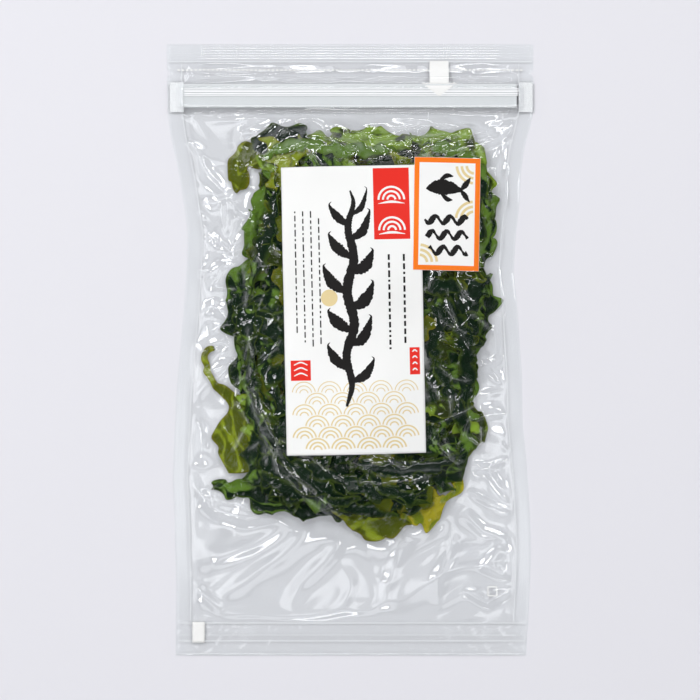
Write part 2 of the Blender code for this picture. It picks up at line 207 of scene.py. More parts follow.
def within(span, value):
    """1 between the inner two of four places, fading to 0 at the outer two."""
    return smooth_step(*span[:2], value) * (1 - smooth_step(*span[2:], value))


def edge_at(edge, y):
    """Where an edge, given in mm as (y, x) from the top down, lies at y."""
    table = np.array(edge, float)
    return np.interp(-y, -table[:, 0] * MM, table[:, 1] * MM)


def blurred(field, sigma):
    """The field smoothed by a bell curve of this width, with its rim repeated outwards."""
    reach = max(1, int(3 * sigma / PITCH))
    weights = np.exp(-0.5 * (np.arange(-reach, reach + 1) * PITCH / sigma) ** 2)
    weights /= weights.sum()
    for axis in (0, 1):
        padded = np.pad(field, [(reach, reach) if k == axis else (0, 0) for k in (0, 1)], mode="edge")
        size = field.shape[axis]
        field = sum(w * np.take(padded, np.arange(k, k + size), axis=axis) for k, w in enumerate(weights))
    return field


def grown(field, steps):
    """The highest value of the field within so many steps."""
    rows, columns = field.shape
    shifts = [(i, j) for i in range(3) for j in range(3)]
    for _ in range(steps):
        padded = np.pad(field, 1, mode="edge")
        field = np.max([padded[i:i + rows, j:j + columns] for i, j in shifts], axis=0)
    return field


def lookup(field, points):
    """The field's value at points, straight between its grid values."""
    u = np.clip((points[..., 0] - FIELD_X[0]) / PITCH, 0, len(FIELD_X) - 1.001)
    v = np.clip((points[..., 1] - FIELD_Y[0]) / PITCH, 0, len(FIELD_Y) - 1.001)
    i, j = u.astype(int), v.astype(int)
    a, b = u - i, v - j
    return (
        field[i, j] * (1 - a) * (1 - b) + field[i + 1, j] * a * (1 - b)
        + field[i, j + 1] * (1 - a) * b + field[i + 1, j + 1] * a * b
    )


def stamp(field, points):
    """Raises the field to the height of the points, each at its four nearest grid places."""
    i = ((points[:, 0] - FIELD_X[0]) / PITCH).astype(int)
    j = ((points[:, 1] - FIELD_Y[0]) / PITCH).astype(int)
    for di, dj in ((0, 0), (1, 0), (0, 1), (1, 1)):
        np.maximum.at(field, (i + di, j + dj), points[:, 2])


def field_points():
    return np.stack(np.meshgrid(FIELD_X, FIELD_Y, indexing="ij"), axis=-1)


def cast_heights(tree, from_above):
    """The height of a surface over the fields' grid, from above or from below, 0 where it has none."""
    start, way = (0.1, -1) if from_above else (-0.1, 1)
    heights = np.zeros((len(FIELD_X), len(FIELD_Y)))
    for i, x in enumerate(FIELD_X):
        for j, y in enumerate(FIELD_Y):
            if abs(x) < HALF_WIDTH and abs(y) < HALF_LENGTH:
                hit = tree.ray_cast(Vector((x, y, start)), Vector((0, 0, way)))[0]
                if hit:
                    heights[i, j] = hit.z
    return heights


def quad_grid(rows, columns):
    a = (np.arange(rows - 1)[:, None] * columns + np.arange(columns - 1)).ravel()
    return np.column_stack([a, a + 1, a + columns + 1, a + columns])


def upward_quads(points):
    """The quads of a grid of points whose rows run towards -Y, facing up."""
    return quad_grid(*points.shape[:2])[:, ::-1]


def face_normals(points, quads):
    """Each quad's upright direction, as long as twice its area."""
    a, b, c, d = points[quads.T]
    return np.cross(c - a, d - b)


def vertex_normals(points, quads):
    across = face_normals(points, quads)
    total = np.zeros_like(points)
    for k in range(4):
        np.add.at(total, quads[:, k], across)
    return total / np.maximum(np.linalg.norm(total, axis=1), 1e-15)[:, None]


def rim_edges(quads):
    """The sheet's rim, as directed edges with the sheet on their left."""
    edges = np.vstack([quads[:, [k, (k + 1) % 4]] for k in range(4)])
    size = edges.max() + 1
    keys = edges[:, 0] * size + edges[:, 1]
    return edges[~np.isin(keys, edges[:, 1] * size + edges[:, 0])]


def closed_sheet(points, quads, thick):
    """A sheet with a thickness, its given points on top, closed round its rim."""
    under = points - vertex_normals(points, quads) * thick
    count = len(points)
    rim = rim_edges(quads)
    walls = np.column_stack([rim[:, 1], rim[:, 0], rim[:, 0] + count, rim[:, 1] + count])
    return np.vstack([points, under]), np.vstack([quads, quads[:, ::-1] + count, walls])


def add_piece(name, points, faces, material, replaced=(), values=None):
    """Makes a mesh object that rides on the pouch, with named per-point values in its attributes."""
    mesh = bpy.data.meshes.new(name)
    mesh.from_pydata(points.tolist(), [], faces.tolist())
    mesh.polygons.foreach_set("use_smooth", np.ones(len(mesh.polygons), bool))
    for key, numbers in (values or {}).items():
        layer = mesh.attributes.new(key, "FLOAT", "POINT")
        layer.data.foreach_set("value", np.ascontiguousarray(numbers, np.float32))
    mesh.materials.append(material)
    piece = bpy.data.objects.new(name, mesh)
    bpy.context.scene.collection.objects.link(piece)
    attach(piece, "root")
    if replaced:
        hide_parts(*replaced)
    return piece


def add_sheet(name, points, quads, thick, material, replaced=(), values=None):
    """Makes the object of a closed sheet, with its values on both sides."""
    shaped, faces = closed_sheet(points, quads, thick)
    values = {key: np.tile(row, 2) for key, row in (values or {}).items()}
    return add_piece(name, shaped, faces, material, replaced, values)


def new_group(name, inputs, outputs):
    """A shader node group with its named sockets, as (name, kind)."""
    group = bpy.data.node_groups.new(name, "ShaderNodeTree")
    for in_out, sockets in (("INPUT", inputs), ("OUTPUT", outputs)):
        for label, kind in sockets:
            group.interface.new_socket(name=label, in_out=in_out, socket_type=kind)
    return group, group.nodes.new("NodeGroupInput"), group.nodes.new("NodeGroupOutput")


def node(tree, kind, **settings):
    """Adds a node, with its settings, and its plain socket values where the key ends in _in."""
    made = tree.nodes.new(kind)
    for key, value in settings.items():
        if key.endswith("_in"):
            made.inputs[key[:-3].replace("_", " ")].default_value = value
        else:
            setattr(made, key, value)
    return made


def feed(tree, value, socket):
    """Links a socket to another node's output, or sets it to a plain value."""
    if isinstance(value, bpy.types.NodeSocket):
        tree.links.new(value, socket)
    else:
        socket.default_value = value


def worked(tree, operation, *values, clamp=False):
    """The result of a math node over numbers and outputs."""
    made = node(tree, "ShaderNodeMath", operation=operation, use_clamp=clamp)
    for value, socket in zip(values, made.inputs):
        feed(tree, value, socket)
    return made.outputs[0]


def ranged(tree, value, kind="SMOOTHSTEP", clamp=True, **ends):
    """An output mapped from one range to another, with the ends that aren't 0 and 1 given."""
    made = node(tree, "ShaderNodeMapRange", interpolation_type=kind, clamp=clamp)
    for key, end in ends.items():
        made.inputs[key.replace("_", " ")].default_value = end
    tree.links.new(value, made.inputs["Value"])
    return made.outputs["Result"]


def noise(tree, scale, detail, roughness=0.5, distortion=0.0):
    """A noise over the object's own places."""
    made = node(
        tree, "ShaderNodeTexNoise", Detail_in=detail, Roughness_in=roughness, Distortion_in=distortion
    )
    tree.links.new(tree.nodes.new("ShaderNodeTexCoord").outputs["Object"], made.inputs["Vector"])
    feed(tree, scale, made.inputs["Scale"])
    return made.outputs["Fac"]


def mixed(tree, share, first, second):
    """Two colours mixed, the second by its share."""
    made = node(tree, "ShaderNodeMix", data_type="RGBA")
    for label, value in (("Factor", share), ("A", first), ("B", second)):
        feed(tree, value, made.inputs[label])
    return made.outputs["Result"]


def attribute(tree, name):
    """A value that the mesh carries at each of its points."""
    return node(tree, "ShaderNodeAttribute", attribute_name=name).outputs["Fac"]


def bumped(tree, height, shader, strength, distance):
    """Raises the shader's surface by a height."""
    bump = node(tree, "ShaderNodeBump", Strength_in=strength, Distance_in=distance)
    tree.links.new(height, bump.inputs["Height"])
    tree.links.new(bump.outputs["Normal"], shader.inputs["Normal"])


def leaf_group():
    """Frond colour: mottled; paler where one layer lies on the floor and on fold ridges, painted light
    through the thin leaf; darker in fold hollows, painted shade; yellower at the margins, partly painted
    light.
    """
    if "Wakame leaf" in bpy.data.node_groups:
        return bpy.data.node_groups["Wakame leaf"]
    colour = "NodeSocketColor"
    number = "NodeSocketFloat"
    group, given, result = new_group(
        "Wakame leaf",
        [("Deep", colour), ("Thin", colour), ("Margin", colour)],
        [("Color", colour), ("Wetness", number), ("Height", number)],
    )
    mottle = noise(group, 110.0, 5.0, 0.6, 0.8)
    spread = ranged(group, mottle, From_Min=0.36, From_Max=0.64)
    # The fold value paints shade and light: it darkens the hollows of the folds and lightens their ridges. It
    # also carries each piece's own tone.
    shown = worked(group, "MULTIPLY_ADD", spread, 0.3, attribute(group, "fold"))
    # Fewer layers beneath make the frond paler: painted light passing through a thin leaf over the pale
    # floor.
    bare = worked(group, "MULTIPLY_ADD", attribute(group, "layers"), -0.8, shown)
    backlit = ranged(group, bare, From_Min=0.42, From_Max=0.82)
    body = mixed(group, backlit, given.outputs["Deep"], given.outputs["Thin"])
    # Paler, yellower margins: partly the frond's own colour and partly painted light passing through its thin
    # edge.
    narrow = ranged(group, attribute(group, "margin"), "LINEAR", From_Min=0.6, To_Max=1.1)
    edge = worked(group, "MULTIPLY", narrow, mottle, clamp=True)
    fine = noise(group, 900.0, 3.0)
    wet = ranged(group, fine, "LINEAR", From_Min=0.3, From_Max=0.75, To_Min=0.04, To_Max=0.12)
    vein = noise(group, 210.0, 2.0, 0.45, 0.7)
    away = worked(group, "ABSOLUTE", worked(group, "SUBTRACT", vein, 0.5))
    ripple = worked(group, "MULTIPLY_ADD", noise(group, 520.0, 1.0, 0.4, 0.5), 0.22, away)
    group.links.new(mixed(group, edge, body, given.outputs["Margin"]), result.inputs["Color"])
    group.links.new(wet, result.inputs["Wetness"])
    group.links.new(ripple, result.inputs["Height"])
    return group


def crinkle_group():
    """Fine crinkles and a broad cloud, for coated paper and plastic."""
    if "Wakame crinkle" in bpy.data.node_groups:
        return bpy.data.node_groups["Wakame crinkle"]
    number = "NodeSocketFloat"
    group, given, result = new_group(
        "Wakame crinkle", [("Scale", number)], [("Height", number), ("Cloud", number)]
    )
    fine = noise(group, given.outputs["Scale"], 2.0, 0.5, 0.4)
    away = worked(group, "ABSOLUTE", worked(group, "SUBTRACT", fine, 0.5))
    group.links.new(ranged(group, away, From_Max=0.06, To_Min=1.0, To_Max=0.0), result.inputs["Height"])
    group.links.new(noise(group, 28.0, 3.0), result.inputs["Cloud"])
    return group


def group_node(tree, group, **plain):
    """A group's node in a material, with its plain values by socket name."""
    made = tree.nodes.new("ShaderNodeGroup")
    made.node_tree = group
    for label, value in plain.items():
        made.inputs[label].default_value = value
    return made


def new_material(name, **plain):
    """A Principled material, its plain values by socket name with underscores for spaces."""
    material = bpy.data.materials.new(name)
    material.use_nodes = True
    shader = material.node_tree.nodes["Principled BSDF"]
    for key, value in plain.items():
        shader.inputs[key.replace("_", " ")].default_value = value
    return material, material.node_tree, shader


def leaf_material(name, deep, backlit, margin):
    """Wet frond: its deep colour in fold hollows and thick places, painted shade; its backlit colour on
    ridges and thin places, painted light passing through it; and its margin colour.
    """
    material, tree, shader = new_material(name, IOR=1.12, Coat_Weight=0.05, Coat_Roughness=0.03)
    leaf = group_node(tree, leaf_group(), Deep=(*deep, 1), Thin=(*backlit, 1), Margin=(*margin, 1))
    tree.links.new(leaf.outputs["Color"], shader.inputs["Base Color"])
    tree.links.new(leaf.outputs["Wetness"], shader.inputs["Roughness"])
    bumped(tree, leaf.outputs["Height"], shader, 0.6, 0.003)
    return material


def film_material(name, tint, gloss, cling):
    """Clear film: see-through face on, glossy at its ridges, and less so where it clings to the wet heap."""
    material, tree, shader = new_material(name, Base_Color=(0.97, 0.98, 1.0, 1), Metallic=1.0)
    clear = node(tree, "ShaderNodeBsdfTransparent", Color_in=(*tint, 1))
    fresnel = node(tree, "ShaderNodeFresnel", IOR_in=1.5)
    contact = attribute(tree, "contact")
    strength = ranged(tree, contact, "LINEAR", clamp=False, To_Min=gloss, To_Max=gloss * cling)
    either = worked(tree, "ABSOLUTE", contact)
    rough = ranged(tree, either, "LINEAR", To_Min=FREE_ROUGHNESS, To_Max=CLINGING_ROUGHNESS)
    tree.links.new(rough, shader.inputs["Roughness"])
    shine = worked(tree, "MULTIPLY", fresnel.outputs[0], strength, clamp=True)
    shine = worked(tree, "MINIMUM", shine, MOST_GLOSS)
    facing = worked(tree, "SUBTRACT", 1.0, tree.nodes.new("ShaderNodeNewGeometry").outputs["Backfacing"])
    shadow = tree.nodes.new("ShaderNodeLightPath").outputs["Is Shadow Ray"]
    lighter = worked(tree, "MULTIPLY_ADD", shadow, -SHADOW_LOSS, 1.0)
    seen = worked(tree, "MULTIPLY", worked(tree, "MULTIPLY", shine, facing), lighter)
    mix = tree.nodes.new("ShaderNodeMixShader")
    for value, socket in zip((seen, clear.outputs[0], shader.outputs[0]), mix.inputs):
        tree.links.new(value, socket)
    tree.links.new(mix.outputs[0], tree.nodes["Material Output"].inputs["Surface"])
    return material


def paper_material(name, colour, roughness, ior):
    """Coated paper with a faint cloud in its white and a fine tooth."""
    material, tree, shader = new_material(name, IOR=ior)
    crinkle = group_node(tree, crinkle_group(), Scale=1500.0)
    cloud = crinkle.outputs["Cloud"]
    shade = mixed(tree, cloud, (*colour, 1), (*[c * 0.93 for c in colour], 1))
    rough = ranged(tree, cloud, "LINEAR", To_Min=roughness - 0.06, To_Max=roughness + 0.08)
    tree.links.new(shade, shader.inputs["Base Color"])
    tree.links.new(rough, shader.inputs["Roughness"])
    bumped(tree, crinkle.outputs["Height"], shader, 0.12, 0.0001)
    return material


def milky_material(name, colour, roughness):
    """Pale plastic that is thick enough to look milky, with a faint cloud in its gloss."""
    material, tree, shader = new_material(name, Base_Color=(*colour, 1), IOR=1.5)
    crinkle = group_node(tree, crinkle_group(), Scale=500.0)
    cloud = crinkle.outputs["Cloud"]
    rough = ranged(tree, cloud, "LINEAR", To_Min=roughness * 0.6, To_Max=roughness * 1.4)
    tree.links.new(rough, shader.inputs["Roughness"])
    return material


def cad_top_sheet(name, levels):
    """The upper side of a frond's solid, smoothed and cut finer, as points and quads."""
    work = bmesh.new()
    work.from_mesh(frame["nodes"][name].data)
    bmesh.ops.remove_doubles(work, verts=work.verts, dist=1e-6)
    work.normal_update()
    under = [f for f in work.faces if f.normal.z < 0.01]
    bmesh.ops.delete(work, geom=under, context="FACES")
    bmesh.ops.join_triangles(
        work, faces=work.faces, angle_face_threshold=1.2, angle_shape_threshold=1.6, cmp_seam=False
    )
    mesh = bpy.data.meshes.new("cut")
    work.to_mesh(mesh)
    work.free()
    holder = bpy.data.objects.new("cut", mesh)
    bpy.context.scene.collection.objects.link(holder)
    finer = holder.modifiers.new("finer", "SUBSURF")
    finer.levels = levels
    finer.render_levels = levels
    fine = holder.evaluated_get(bpy.context.evaluated_depsgraph_get()).to_mesh()
    points = np.empty(len(fine.vertices) * 3)
    fine.vertices.foreach_get("co", points)
    quads = np.array([tuple(p.vertices) for p in fine.polygons])
    bpy.data.objects.remove(holder)
    bpy.data.meshes.remove(mesh)
    return points.reshape(-1, 3), quads


def rim_distance(points, quads):
    """How far each point lies from the sheet's rim, in the plane."""
    rim = points[np.unique(rim_edges(quads))][:, :2]
    far = np.empty(len(points))
    for k in range(0, len(points), 2000):
        block = points[k:k + 2000, None, :2] - rim[None]
        far[k:k + 2000] = np.sqrt((block**2).sum(axis=2).min(axis=1))
    return far


def along_grain(points, stretch):
    """The points' places in the plane, turned to the sheet's long way and drawn together along it."""
    flat = points[:, :2] - points[:, :2].mean(axis=0)
    _, ways = np.linalg.eigh(flat.T @ flat)
    return flat @ ways * np.array([1, stretch])


def crumpled(points, quads, seed, depth, pitch, tops, gap, stretch=GRAIN):
    """Folds and ruffles a flat sheet, and lays it on what is under it. Gives its fold, which the leaf's
    colour uses to paint shade in the hollows and light on the ridges, and its margin too.
    """
    far = rim_distance(points, quads)
    edge = np.exp(-far / (2.2 * MM))
    grain = along_grain(points, stretch)
    broad = creases(grain, 2.2 * pitch, seed)
    sharp = creases(grain, pitch, seed + 5)
    ruffle = plane_waves(points, 5.2 * MM, seed + 9)
    height = depth * (0.75 * broad + 0.55 * sharp + 0.9 * edge * ruffle)
    lean = depth * 0.9
    moved = points.copy()
    moved[:, 0] += lean * plane_waves(points, 1.6 * pitch, seed + 11) * (0.4 + 0.6 * edge)
    moved[:, 1] += lean * plane_waves(points, 1.6 * pitch, seed + 12) * (0.4 + 0.6 * edge)
    held = lookup(tops, moved) + gap
    moved[:, 2] = np.maximum(moved[:, 2], held) + np.maximum(height, -0.2 * MM)
    return moved, {"fold": 0.7 * broad + 0.3 * sharp, "margin": edge}


def layer_count(points, counts):
    """The share of a full heap's layers that lie under each point."""
    return np.clip(lookup(counts, points) / FULL_LAYERS, 0, 1)


def count_in(counts, points):
    """Counts a sheet once in each field cell that it covers."""
    i = ((points[:, 0] - FIELD_X[0]) / PITCH).round().astype(int)
    j = ((points[:, 1] - FIELD_Y[0]) / PITCH).round().astype(int)
    seen = np.zeros(counts.shape, bool)
    seen[i, j] = True
    counts += seen


def scrap_line(chance, centre, length, pitch):
    """The bent middle line of a loose scrap."""
    t = np.linspace(-0.5, 0.5, max(8, int(length / pitch) + 1))
    heading = (
        chance.uniform(0, math.tau) + chance.uniform(-2, 2) * t
        + 0.5 * np.sin(math.tau * t * chance.uniform(0.6, 1.6))
    )
    line = np.column_stack([np.cumsum(np.cos(heading)), np.cumsum(np.sin(heading))]) * length / (len(t) - 1)
    return line + np.array(centre) - line.mean(axis=0)


def scrap_sheet(chance, line, half_width, pitch):
    """A loose scrap in the plane: a blade along a line, with lobed sides and narrow ends."""
    rows = len(line)
    columns = max(5, 2 * int(half_width / pitch) + 1)
    t = np.linspace(-0.5, 0.5, rows)
    heading = np.gradient(line, axis=0)
    length = np.sqrt((heading**2).sum(axis=1)).sum()
    heading /= np.sqrt((heading**2).sum(axis=1))[:, None]
    side = np.column_stack([-heading[:, 1], heading[:, 0]])
    turned = np.abs(np.diff(np.unwrap(np.arctan2(heading[:, 1], heading[:, 0])))).max() * (rows - 1)
    across = np.linspace(-1, 1, columns)
    lobes = 1 + 0.28 * np.sin(
        math.tau * (t[:, None] * length / chance.uniform(7 * MM, 14 * MM)) + chance.uniform(0, 6)
        + 2 * (across[None, :] > 0)
    )
    taper = np.clip(1 - np.abs(2 * t) ** chance.uniform(2, 4), 0.12, 1)
    tight = min(1.0, 0.85 * length / (turned * half_width + 1e-9))
    reach = half_width * tight * taper[:, None] * across[None, :] * lobes
    flat = line[:, None, :] + side[:, None, :] * reach[:, :, None]
    return np.column_stack([flat.reshape(-1, 2), np.zeros(rows * columns)]), quad_grid(rows, columns)


def pull(points, free, a, b, length, share):
    """Moves pairs of points towards their rest length, fixed points staying."""
    step = points[b] - points[a]
    far = np.sqrt((step**2).sum(axis=-1, keepdims=True))
    weight = free[a] + free[b]
    move = share * (far - length) / np.maximum(far * weight, 1e-9) * step
    points[a] += free[a] * move
    points[b] -= free[b] * move


def pair_slices(rows, columns):
    """Pairs of neighbours along, across and on both diagonals, in sets where no point is used twice."""
    sets = []
    for start in (0, 1):
        count = (rows - start) // 2
        a, b = slice(start, start + 2 * count - 1, 2), slice(start + 1, start + 2 * count, 2)
        sets.append(("along", (a, slice(None)), (b, slice(None))))
        sets.append(("slanting", (a, slice(0, -1)), (b, slice(1, None))))
        sets.append(("slanting", (a, slice(1, None)), (b, slice(0, -1))))
        count = (columns - start) // 2
        a, b = slice(start, start + 2 * count - 1, 2), slice(start + 1, start + 2 * count, 2)
        sets.append(("across", (slice(None), a), (slice(None), b)))
    return sets


def relax_film(given, ground, ceiling):
    """The front film's middle surface: a sheet with spare width, pressed down on the heap until it folds."""
    rows = int(2 * HALF_LENGTH / given.sheet_pitch) + 1
    columns = int(2 * HALF_WIDTH / given.sheet_pitch) + 1
    y = np.linspace(HALF_LENGTH, -HALF_LENGTH, rows)
    flat = np.linspace(-HALF_WIDTH, HALF_WIDTH, columns)
    inner = HALF_WIDTH - SIDE_SEAL
    left = edge_at(LEFT_EDGE, y)[:, None] + SIDE_SEAL
    right = edge_at(RIGHT_EDGE, y)[:, None] - SIDE_SEAL
    t = (flat[None, :] + inner) / (2 * inner)
    x = left + (right - left) * np.clip(t, 0, 1) + 2 * inner * (np.minimum(t, 0) + np.maximum(t - 1, 0))
    points = np.stack([x, np.broadcast_to(y[:, None], x.shape), np.zeros_like(x)], axis=-1)
    in_zip = (
        (y[:, None] < ZIP_Y + ZIP_ABOVE) & (y[:, None] > ZIP_Y - ZIP_BELOW) & (np.abs(x) < ZIP_HALF + 2 * MM)
    )
    sealed = (np.abs(flat)[None, :] > inner) | (y[:, None] > HALF_LENGTH - TOP_SEAL) | (
        y[:, None] < BOTTOM_SEAL - HALF_LENGTH
    )
    points[..., 2] = lookup(ceiling, points) + 0.5 * MM * plane_waves(points, 13 * MM, 31)
    points[..., 2] = np.where(sealed & ~in_zip, SEAL_LEVEL, points[..., 2])
    points[..., 2] = np.where(in_zip, lookup(ceiling, points) + 0.1 * MM, points[..., 2])
    free = np.where(sealed | in_zip, 0.0, 1.0)[..., None]
    rest_y = y[0] - y[1]
    width = (right - left) + given.slack * (2 * inner - (right - left))
    rest_x = (width / (2 * inner) * (flat[1] - flat[0]))[:, :, None]
    lengths = {"along": rest_y, "across": rest_x, "slanting": np.hypot(rest_y, rest_x)}
    sets = pair_slices(rows, columns)
    loose = free[..., 0] > 0
    for turn in range(given.rounds):
        points[..., 2] -= free[..., 0] * given.press
        for kind, a, b in sets:
            length = lengths[kind]
            if kind == "slanting":
                length = length[a[0]]
            pull(points, free, a, b, length, PULL_SHARE)
        for a, b, rest in (
            ((slice(None), slice(0, -2)), (slice(None), slice(2, None)), 2 * rest_x),
            ((slice(0, -2), slice(None)), (slice(2, None), slice(None)), 2 * rest_y),
        ):
            step = points[b] - points[a]
            far = np.sqrt((step**2).sum(axis=-1, keepdims=True))
            move = given.stiffness * np.minimum(far - rest, 0) / far * step
            points[a] += free[a] * move
            points[b] -= free[b] * move
        if turn % 2 == 0:
            low = lookup(ground, points)
            points[..., 2] = np.where(loose, np.maximum(points[..., 2], low), points[..., 2])
            top = lookup(ceiling, points) + given.proud
            points[..., 2] = np.minimum(points[..., 2], top)
    low = lookup(ground, points)
    points[..., 2] = np.where(loose, np.maximum(points[..., 2], low), points[..., 2])
    return points


def neighbour_mean(grid):
    """The grid with each value drawn to those beside it."""
    wide = np.pad(grid, 1, mode="edge")
    grid = 0.5 * wide[1:-1] + 0.25 * (wide[:-2] + wide[2:])
    return 0.5 * grid[:, 1:-1] + 0.25 * (grid[:, :-2] + grid[:, 2:])


def cubic(a, b, c, d, t):
    """The smooth curve from b to c, with a before them and d after them."""
    return 0.5 * (
        2 * b + (c - a) * t + (2 * a - 5 * b + 4 * c - d) * t**2 + (3 * b - a - 3 * c + d) * t**3
    )


def cubic_rows(grid, at):
    """A grid of points read between its rows along a smooth curve."""
    size = len(grid)
    i = np.clip(at.astype(int), 0, size - 2)
    t = (at - i).reshape((-1,) + (1,) * (grid.ndim - 1))
    return cubic(grid[np.maximum(i - 1, 0)], grid[i], grid[i + 1], grid[np.minimum(i + 2, size - 1)], t)


def heap_streaks(number):
    """Short straight creases of the film over the heap, beside the label and above and below it."""
    chance = np.random.default_rng(STREAK_SEED)
    streaks = []
    for _ in range(number):
        y = chance.uniform(-50, 92)
        side = chance.choice([-1, 1, 1])
        x = side * chance.uniform(30, 56) if -44 < y < 74 else chance.uniform(-44, 52)
        angle = math.pi / 2 + 0.4 * side + chance.normal(0, 0.5)
        half = chance.uniform(2.5, 8)
        reach = np.array([math.cos(angle), math.sin(angle)]) * half
        line = ((x - reach[0], y - reach[1]), (x + reach[0], y + reach[1]))
        streaks.append((line, chance.uniform(0.4, 0.9), STREAK_WIDTH))
    return streaks


def fold_heights(points, folds):
    """The heights of folds, ridges along lines that are highest in their middle, and how sharp each is."""
    total = np.zeros(points.shape[:-1])
    crest = np.zeros(points.shape[:-1])
    for line, height, width in folds:
        line = np.array(line) * MM
        away = np.full(points.shape[:-1], 1.0)
        along = np.zeros(points.shape[:-1])
        steps = np.sqrt((np.diff(line, axis=0) ** 2).sum(axis=1))
        reached = np.concatenate([[0], np.cumsum(steps)])
        for k in range(len(line) - 1):
            way = (line[k + 1] - line[k]) / steps[k]
            rel = points[..., :2] - line[k]
            t = np.clip(rel @ way, 0, steps[k])
            far = np.sqrt(((rel - t[..., None] * way) ** 2).sum(axis=-1))
            nearer = far < away
            away = np.where(nearer, far, away)
            along = np.where(nearer, reached[k] + t, along)
        swell = np.sin(np.pi * np.clip(along / reached[-1], 0, 1)) ** 0.6
        bell = 1.3 if width < 1.8 else 1.8
        total += height * MM * swell * np.exp(-((away / (width * MM)) ** bell))
        sharp = min(max((1.7 - width) / 0.7, 0), 1)
        crest = np.maximum(crest, sharp * swell * np.exp(-((away / (0.72 * width * MM)) ** 2)))
    return total, crest


def film_rows(pitch):
    """Where the front film has rows of points: close in the ribbed seal and at the notches."""
    ribs = np.arange(HALF_LENGTH, HALF_LENGTH - TOP_SEAL, -0.26 * MM)
    body = np.arange(HALF_LENGTH - TOP_SEAL, -HALF_LENGTH, -pitch)
    extra = [NOTCH_Y + NOTCH_HALF, NOTCH_Y, NOTCH_Y - NOTCH_HALF, -HALF_LENGTH]
    body = body[np.min(np.abs(body[:, None] - np.array(extra)[None]), axis=1) > 0.2 * MM]
    return np.sort(np.concatenate([ribs, body, extra]))[::-1]


def notched(points, y):
    """Draws the sheet's sides in at the two tear notches."""
    depth = NOTCH_DEPTH * np.clip(1 - np.abs(y - NOTCH_Y) / NOTCH_HALF, 0, 1)[:, None]
    u = np.linspace(-1, 1, points.shape[1])[None, :]
    points[..., 0] -= np.sign(u) * depth * smooth_step(0.9, 1.0, np.abs(u))
    return points


def paper_frame(paper, points):
    """A point of the pouch as (across, along) on a paper."""
    _, centre, turn = paper
    angle = math.radians(turn)
    dx, dy = points[..., 0] - centre[0], points[..., 1] - centre[1]
    return dx * math.cos(angle) + dy * math.sin(angle), -dx * math.sin(angle) + dy * math.cos(angle)


def on_paper(paper, flat):
    """Points given as (across, along) on a paper, in the pouch's plane."""
    _, centre, turn = paper
    angle = math.radians(turn)
    u, v = flat[..., 0], flat[..., 1]
    x = centre[0] + u * math.cos(angle) - v * math.sin(angle)
    y = centre[1] + u * math.sin(angle) + v * math.cos(angle)
    return np.stack([x, y], axis=-1)


def paper_cover(points, fade):
    """1 under a paper, fading to 0 this far outside it."""
    cover = np.zeros(points.shape[:-1])
    for paper in (LABEL, SEASON, TAG):
        u, v = paper_frame(paper, points)
        out = np.maximum(np.abs(u) - paper[0][0] / 2, np.abs(v) - paper[0][1] / 2)
        cover = np.maximum(cover, 1 - smooth_step(0, fade, out))
    return cover


def paper_sheet(paper, surface, lift, pitch):
    """A paper that follows a surface, as points and quads."""
    size = paper[0]
    columns, rows = (max(3, int(s / pitch) + 1) for s in size)
    u, v = np.meshgrid(np.linspace(-0.5, 0.5, columns) * size[0], np.linspace(0.5, -0.5, rows) * size[1])
    xy = on_paper(paper, np.stack([u, v], axis=-1)).reshape(-1, 2)
    z = lookup(surface, xy) + lift
    return np.column_stack([xy, z]), upward_quads(u)


def smooth_line(points, step):
    """A smooth line through points of any number of values, cut into even steps."""
    given = np.array(points, float)
    held = np.vstack([2 * given[0] - given[1], given, 2 * given[-1] - given[-2]])
    fine = []
    for a, b, c, d in zip(held, held[1:], held[2:], held[3:]):
        for t in np.linspace(0, 1, 16, endpoint=False):
            fine.append(cubic(a, b, c, d, t))
    fine = np.array([*fine, given[-1]])
    along = np.concatenate([[0], np.cumsum(np.hypot(*np.diff(fine[:, :2], axis=0).T))])
    at = np.linspace(0, along[-1], max(3, int(along[-1] / step) + 1))
    return np.column_stack([np.interp(at, along, column) for column in fine.T])


